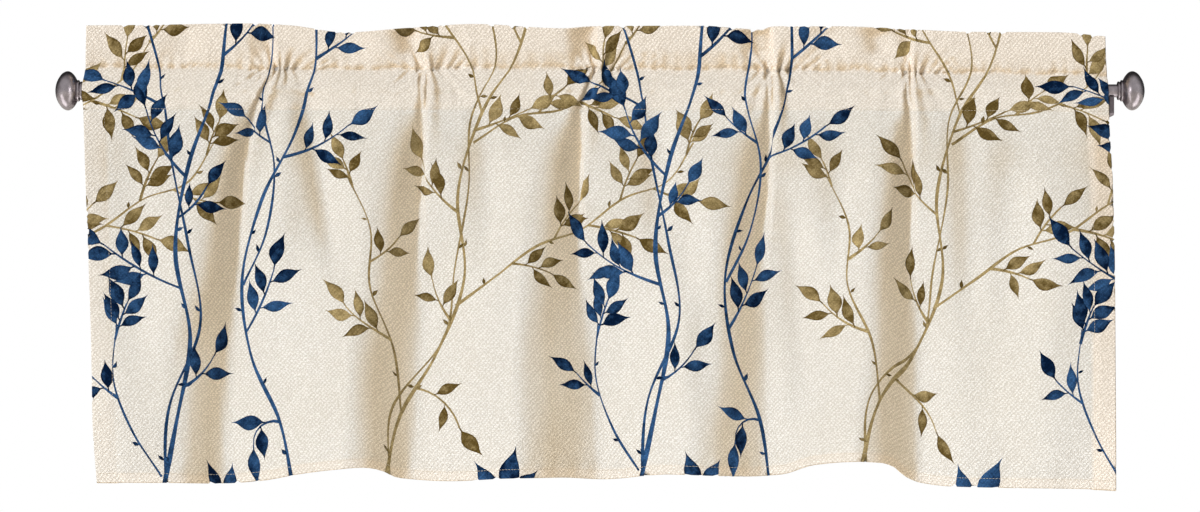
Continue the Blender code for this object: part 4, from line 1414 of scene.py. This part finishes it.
def cloth_material(name, cloth, ink, wrong_side):
    """Cream cloth, with or without the print's ink in it, on its right or its wrong side."""
    recipe = Recipe(name)
    height, place = weave_of(recipe, cloth.weave_pitch)
    cloudy = recipe.fit(recipe.noise(place, 0.012, 3.0), 0.3, 0.7)
    colour = recipe.blend(cloudy, cloth.ground, cloth.ground_warm)
    colour = recipe.blend(recipe.times(recipe.attribute("layers"), LAYER_SHOWS), colour, cloth.doubled)
    # Painted shade: the cream is warmed and darkened where the cloth turns away from the key light.
    colour = recipe.blend(recipe.attribute("turned"), colour, cloth.painted_fold_shade, "MULTIPLY")
    # Painted shade: ridges turned to the key light are blended towards black to tone down their highlight.
    colour = recipe.blend(recipe.attribute("ridge"), colour, BLACK)
    if ink is not None:
        stained = stain(recipe, place, *ink)
        colour = recipe.blend(PRINT_THROUGH, colour, stained) if wrong_side else stained
    flecks = recipe.fit(recipe.noise(place, 0.33), 0.35, 0.65, 0.88, 1.12)
    relief = recipe.fit(recipe.times(height, flecks), 0.0, 0.62)
    # The weave's relief in the colour: partly the yarn's own tone, partly painted shade between the rows and
    # painted light on their tops.
    colour = recipe.blend(1.0, colour, recipe.blend(relief, WEAVE_LOW, WEAVE_HIGH), "MULTIPLY")
    return recipe.finish(
        colour, recipe.fit(height, 0.0, 1.0, 0.92, 0.84), height, WEAVE_DEPTH * MM, 0.9,
        Specular_IOR_Level=0.07, Sheen_Weight=0.02, Sheen_Roughness=0.5,
    )


def thread_material(cloth):
    """Polyester sewing thread in the cloth's own cream, twisted, with a painted shaded side and a painted lit
    side mixed along the twist.
    """
    recipe = Recipe("sewing_thread")
    twist = recipe.noise(recipe.place(), 2600.0)
    # Painted light and shade: the thread's shaded and lit tones, mixed by the twist noise.
    colour = recipe.blend(recipe.fit(twist, 0.3, 0.7), cloth.thread_dark, cloth.thread_light)
    return recipe.finish(colour, recipe.fit(twist, 0.3, 0.7, 0.6, 0.75), twist, 0.05 * MM, Sheen_Weight=0.1)


def pewter_material(name, metal, worn, duller=0.0, tones=None):
    """Cast and brushed pewter with a dark patina: turned marks about the rod's axis, a mottled film."""
    recipe = Recipe(name)
    place = recipe.place()
    along = recipe.node("ShaderNodeSeparateXYZ", {0: place}).outputs[0]
    mottle = recipe.fit(recipe.noise(place, 130.0, 4.0, 0.6), 0.32, 0.68)
    marks = recipe.noise(recipe.node("ShaderNodeCombineXYZ", {0: along}).outputs[0], 2400.0)
    colour = recipe.blend(mottle, *(tones or (metal.dark, metal.light)))
    colour = recipe.blend(recipe.fit(marks, 0.3, 0.7, 0.0, worn), colour, metal.bright)
    smoothest = metal.roughness + duller - 0.05
    rough = recipe.fit(recipe.noise(place, 60.0, 3.0), 0.3, 0.7, smoothest, smoothest + 0.12)
    height = recipe.add(recipe.times(marks, 0.5), recipe.times(mottle, 0.35))
    return recipe.finish(colour, rough, height, 0.04 * MM, 0.5, Metallic=1.0)


def floor_material(stage):
    """A pale, faintly cloudy floor."""
    recipe = Recipe("studio_floor")
    place = recipe.place()
    cloudy = recipe.noise(place, 1.4, 3.0)
    colour = recipe.blend(recipe.fit(cloudy, 0.3, 0.7), stage.floor, stage.floor_light)
    roughness = recipe.fit(cloudy, 0.0, 1.0, 0.75, 0.9)
    return recipe.finish(colour, roughness, recipe.noise(place, 240.0), 0.1 * MM)


# ---------------------------------------------------------------- settings


def amount(name, description, value, low=None, high=None, **more):
    """A setting that is one number, with its limits where it has any."""
    limits = {} if low is None else {"min": low, "max": high}
    return bpy.props.FloatProperty(name=name, description=description, default=value, **limits, **more)


def tint(name, description, value):
    """A setting that is a colour."""
    return bpy.props.FloatVectorProperty(
        name=name, description=description, subtype="COLOR", size=3, min=0.0, max=1.0, default=value
    )


class ClothSettings(bpy.types.PropertyGroup):
    """The cloth and its print."""

    thickness: amount("Cloth thickness", "Thickness of one layer, in millimetres", 0.9, 0.3, 1.1)
    weave_pitch: amount("Weave pitch", "Between the weave's slanting rows, in millimetres", 3.3, 1.0, 6.0)
    ground: tint("Ground", "Cream of the undyed cloth", (0.836, 0.814, 0.784))
    ground_warm: tint("Ground, warmer", "Cream where the cloth is a little warmer", (0.827, 0.796, 0.751))
    doubled: tint("Doubled", "Cream where a second layer lies behind", (0.978, 0.869, 0.763))
    # Painted shade: the tint multiplied into the cream where the cloth turns away from the key light.
    painted_fold_shade: tint("In the folds", "Warmth of the cream in the folds' shade", (0.985, 0.870, 0.700))
    blue_dark: tint("Blue, dark", "Darkest wash of the blue print", (0.0005, 0.0085, 0.034))
    blue_light: tint("Blue, light", "Lightest wash of the blue print", (0.040, 0.120, 0.292))
    gold_dark: tint("Gold, dark", "Darkest wash of the gold print", (0.115, 0.076, 0.021))
    gold_light: tint("Gold, light", "Lightest wash of the gold print", (0.490, 0.380, 0.185))
    thread_dark: tint("Thread, dark", "Shaded side of the sewing thread", (0.56, 0.48, 0.37))
    thread_light: tint("Thread, light", "Lit side of the sewing thread", (0.78, 0.70, 0.57))


class SewingSettings(bpy.types.PropertyGroup):
    """The machine sewing."""

    stitch_length: amount("Stitch length", "Length of one stitch, in millimetres", 2.5, 1.0, 6.0)
    stitch_pitch: amount("Stitch pitch", "Distance from stitch to stitch, in millimetres", 3.1, 1.5, 8.0)
    thread_radius: amount("Thread radius", "Half the thread's thickness, in millimetres", 0.16, 0.1, 0.6)


class MetalSettings(bpy.types.PropertyGroup):
    """The rod, its finials and its brackets."""

    sides: bpy.props.IntProperty(
        name="Sides", description="Steps round a turned finial", default=96, min=24, max=160
    )
    roughness: amount("Roughness", "How soft the metal's shine is", 0.27, 0.05, 0.8, subtype="FACTOR")
    dark: tint("Patina", "Darkest part of the pewter", (0.24, 0.205, 0.222))
    light: tint("Pewter", "Middle tone of the pewter", (0.46, 0.41, 0.435))
    steel: tint("Bracket", "Dark steel of the brackets", (0.150, 0.128, 0.140))
    steel_light: tint("Bracket, lighter", "The brackets where they are lighter", (0.250, 0.218, 0.235))
    bright: tint("Rubbed pewter", "Where the film is rubbed off", (0.66, 0.61, 0.635))


class StageSettings(bpy.types.PropertyGroup):
    """Camera, light and floor."""

    picture_width: amount("Picture width", "Width of the view at the cloth", 1.2, unit="LENGTH")
    distance: amount("Camera distance", "From the cloth to the camera", 4.0, unit="LENGTH")
    view_height: amount("View height", "Height of the camera above the rod", -0.1655, unit="LENGTH")
    floor_drop: amount("Floor drop", "How far the floor lies below the rod", 1.25, unit="LENGTH")
    key_strength: amount("Key light", "Strength of the broad light from the upper left", 3.9)
    key_spread: amount(
        "Key spread", "How broad the key light is seen from the cloth", math.radians(24), subtype="ANGLE"
    )
    fill_power: amount("Low fill", "Power of the soft light that comes up from the floor", 1.7, unit="POWER")
    low_power: amount("Low cards", "Power of the low cards that the knobs reflect", 4.6, unit="POWER")
    small_power: amount("Small cards", "Power of the small cards that the knobs reflect", 0.28, unit="POWER")
    seen: amount("Background", "Brightness of the plain background itself", 1.0)
    behind: amount("Light from behind", "Light that the surroundings behind the valance give", 0.62)
    before: amount("Light from the room", "Light that the surroundings on the room's side give", 0.08)
    shine_before: amount("Shine from the room", "Brightness that the metal reflects from the room", 0.62)
    shine_behind: amount("Shine from behind", "Brightness that the metal reflects from behind", 0.03)
    warmth: tint("Warmth", "Colour of the light that the room's side gives", (1.0, 0.84, 0.64))
    key_tint: tint("Key", "Colour of the key light", (1.0, 0.988, 0.958))
    fill_tint: tint("Fill", "Colour of the low fill", (0.84, 0.92, 1.0))
    floor: tint("Floor", "Pale floor", (0.70, 0.68, 0.64))
    floor_light: tint("Floor, lighter", "Pale floor where it is lighter", (0.75, 0.73, 0.69))


# ---------------------------------------------------------------- operators


def adopt(obj, slot_name, *nodes):
    """Ties a finished piece to the frame."""
    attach(obj, "root")
    if nodes:
        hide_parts(*nodes)


def link_piece(name, data):
    """A new object in the scene."""
    obj = bpy.data.objects.new(name, data)
    bpy.context.scene.collection.objects.link(obj)
    return obj


class VALANCE_OT_cloth(bpy.types.Operator):
    """Hang the printed cloth on the rod and sew its seams"""

    bl_idname = "valance.cloth"
    bl_label = "Cloth and sewing"

    def execute(self, context):
        cloth, sewing = context.scene.valance_cloth, context.scene.valance_sewing
        sheet = Sheet()
        marks = print_marks(sheet)
        layout = Layout(sheet, marks)
        mesh = make_cloth_mesh(sheet, layout, marks, cloth.thickness)
        inks = (None, (cloth.blue_dark, cloth.blue_light), (cloth.gold_dark, cloth.gold_light))
        for name, ink in zip(CLOTH_SLOTS, inks + inks):
            mesh.materials.append(cloth_material(name, cloth, ink, name.startswith("back")))
        skin = link_piece("cloth_skin", mesh)
        adopt(skin, "cloth", "valance_cloth")
        thread_mesh = stitch_mesh(sheet, cloth, sewing)
        thread_mesh.materials.append(thread_material(cloth))
        thread = link_piece("sewing_thread", thread_mesh)
        adopt(thread, "cloth")
        return {"FINISHED"}


class VALANCE_OT_finials(bpy.types.Operator):
    """Turn the two finials"""

    bl_idname = "valance.finials"
    bl_label = "Finials"

    def execute(self, context):
        metal = context.scene.valance_metal
        finish = pewter_material("finial_pewter", metal, 0.30)
        for name, side in (("left", -1), ("right", 1)):
            knob = turn_knob("knob_" + name, side, metal.sides)
            knob.data.materials.clear()
            knob.data.materials.append(finish)
            adopt(knob, "finial_metal", "finial_" + name)
        return {"FINISHED"}


class VALANCE_OT_ironwork(bpy.types.Operator):
    """Give the rod and its brackets their metal"""

    bl_idname = "valance.ironwork"
    bl_label = "Rod and brackets"

    def execute(self, context):
        metal = context.scene.valance_metal
        rod = pewter_material("rod_pewter", metal, 0.25, 0.12)
        bracket = pewter_material("bracket_steel", metal, 0.04, 0.26, (metal.steel, metal.steel_light))
        for node, finish in (("curtain_rod", rod), ("bracket_left", bracket), ("bracket_right", bracket)):
            obj = bpy.data.objects.get(node)
            if obj is None:
                raise RuntimeError(f"The frame has no {node}")
            for slot in obj.material_slots:
                slot.material = finish
        return {"FINISHED"}


def add_light(name, kind, place, target, power, **settings):
    """A light at a place, turned to its target."""
    data = bpy.data.lights.new(name, kind)
    for key, value in {"energy": power, **settings}.items():
        setattr(data, key, value)
    light = link_piece(name, data)
    light.location = place
    light.rotation_euler = (Vector(target) - light.location).to_track_quat("-Z", "Y").to_euler()
    return light


def light_surroundings(stage):
    """A bright pale surround behind the valance, warmer and dimmer on the room's side."""
    world = bpy.data.worlds.new("studio")
    bpy.context.scene.world = world
    world.use_nodes = True
    wiring = Wiring(world.node_tree)
    background = wiring.tree.nodes["Background"].inputs
    way = wiring.node("ShaderNodeTexCoord").outputs["Generated"]
    split = wiring.node("ShaderNodeSeparateXYZ", {0: way}).outputs
    path = wiring.node("ShaderNodeLightPath").outputs
    depth = split[1]
    raised_depth = wiring.maths("MULTIPLY_ADD", split[2], 0.45, depth)

    def by_depth(place, low, high, before=0.0, behind=1.0):
        return wiring.fit(place, low, high, before, behind, interpolation_type="SMOOTHSTEP")

    def choose(ray, others, chosen):
        return wiring.node("ShaderNodeMix", {0: path[ray], 2: others, 3: chosen}).outputs[0]

    soft = by_depth(depth, 0.0, 0.6, stage.before, stage.behind)
    shine = by_depth(raised_depth, 0.10, 0.80, stage.shine_before, stage.shine_behind)
    strength = choose("Is Camera Ray", choose("Is Glossy Ray", soft, shine), stage.seen)
    wiring.feed(background["Strength"], strength)
    plain = choose("Is Camera Ray", choose("Is Glossy Ray", by_depth(depth, -0.35, 0.35), 1.0), 1.0)
    wiring.feed(background["Color"], wiring.blend(plain, stage.warmth, WHITE))


LENS_WIDTH = 36.0  # of the camera's film, in millimetres
CLOTH_FRONT = -(ROD_FROM_WALL + 8.0) * MM
KNOB_MIDDLE = 0.533  # from the valance's middle, in metres
FLOOR_RADIUS = 12.0


class Card(NamedTuple):
    """A bright card that shows only in what is glossy, with its place seen from a knob."""

    name: str
    outward: float  # away from the valance's middle
    back: float  # towards the wall
    up: float
    width: float
    height: float


CARDS = table(
    Card, ("low_card_", 0.495, -0.09, -0.747, 0.6, 1.5), ("small_card_", -0.465, -0.18, 0.025, 0.18, 0.13),
)


class VALANCE_OT_stage(bpy.types.Operator):
    """Set the camera, the lights and the pale floor"""

    bl_idname = "valance.stage"
    bl_label = "Studio"

    def execute(self, context):
        scene, stage = context.scene, context.scene.valance_stage
        camera = bpy.data.cameras.new("camera")
        camera.sensor_width = LENS_WIDTH
        camera.lens = LENS_WIDTH * stage.distance / stage.picture_width
        camera.clip_end = 40.0
        viewer = link_piece("camera", camera)
        viewer.location = (0.0, CLOTH_FRONT - stage.distance, stage.view_height)
        viewer.rotation_euler = (math.radians(90), 0, 0)
        scene.camera = viewer

        clear_selection()
        bpy.ops.mesh.primitive_circle_add(
            vertices=128, radius=FLOOR_RADIUS, fill_type="NGON", location=(0, 0, -stage.floor_drop)
        )
        floor = context.active_object
        floor.name = "studio_floor"
        bpy.ops.object.transform_apply(location=True, rotation=True, scale=True)
        floor.data.materials.append(floor_material(stage))

        key = add_light(
            "key_light", "SUN", 4.0 * Vector(KEY_WAY), (0.0, 0.0, 0.0), stage.key_strength,
            angle=stage.key_spread, color=stage.key_tint,
        )
        fill = add_light(
            "low_fill", "AREA", (0.15, -0.60, -0.88), (0.0, -0.08, -0.38), stage.fill_power,
            shape="RECTANGLE", size=1.8, size_y=0.4, color=stage.fill_tint,
        )
        key.visible_glossy = fill.visible_glossy = False
        for name, side in (("left", -1), ("right", 1)):
            knob = Vector((side * KNOB_MIDDLE, -ROD_FROM_WALL * MM, 0.0))
            for card, power in zip(CARDS, (stage.low_power, stage.small_power)):
                place = knob + Vector((side * card.outward, card.back, card.up))
                light = add_light(
                    card.name + name, "AREA", place, knob, power,
                    shape="RECTANGLE", size=card.width, size_y=card.height,
                )
                light.visible_camera = light.visible_diffuse = False
        light_surroundings(stage)
        scene.view_settings.view_transform = "Standard"
        scene.view_settings.look = "None"
        return {"FINISHED"}


class VALANCE_PT_panel(bpy.types.Panel):
    """The valance's pieces and their settings"""

    bl_idname = "VALANCE_PT_panel"
    bl_label = "Valance"
    bl_space_type = "VIEW_3D"
    bl_region_type = "UI"
    bl_category = "Valance"

    def draw(self, context):
        for operator, groups in PIECES:
            box = self.layout.box()
            box.operator(operator.bl_idname)
            for group in groups:
                settings = getattr(context.scene, group)
                for name in settings.__annotations__:
                    box.prop(settings, name)


PIECES = (
    (VALANCE_OT_cloth, ("valance_cloth", "valance_sewing")),
    (VALANCE_OT_finials, ("valance_metal",)),
    (VALANCE_OT_ironwork, ()),
    (VALANCE_OT_stage, ("valance_stage",)),
)
SETTINGS = {
    "valance_cloth": ClothSettings,
    "valance_sewing": SewingSettings,
    "valance_metal": MetalSettings,
    "valance_stage": StageSettings,
}
CLASSES = (*SETTINGS.values(), *(operator for operator, _ in PIECES), VALANCE_PT_panel)


def register():
    for cls in CLASSES:
        bpy.utils.register_class(cls)
    for name, cls in SETTINGS.items():
        setattr(bpy.types.Scene, name, bpy.props.PointerProperty(type=cls))


def unregister():
    for name in SETTINGS:
        delattr(bpy.types.Scene, name)
    for cls in reversed(CLASSES):
        bpy.utils.unregister_class(cls)


def main():
    register()
    bpy.ops.valance.cloth()
    bpy.ops.valance.finials()
    bpy.ops.valance.ironwork()
    bpy.ops.valance.stage()


if __name__ == "__main__":
    main()
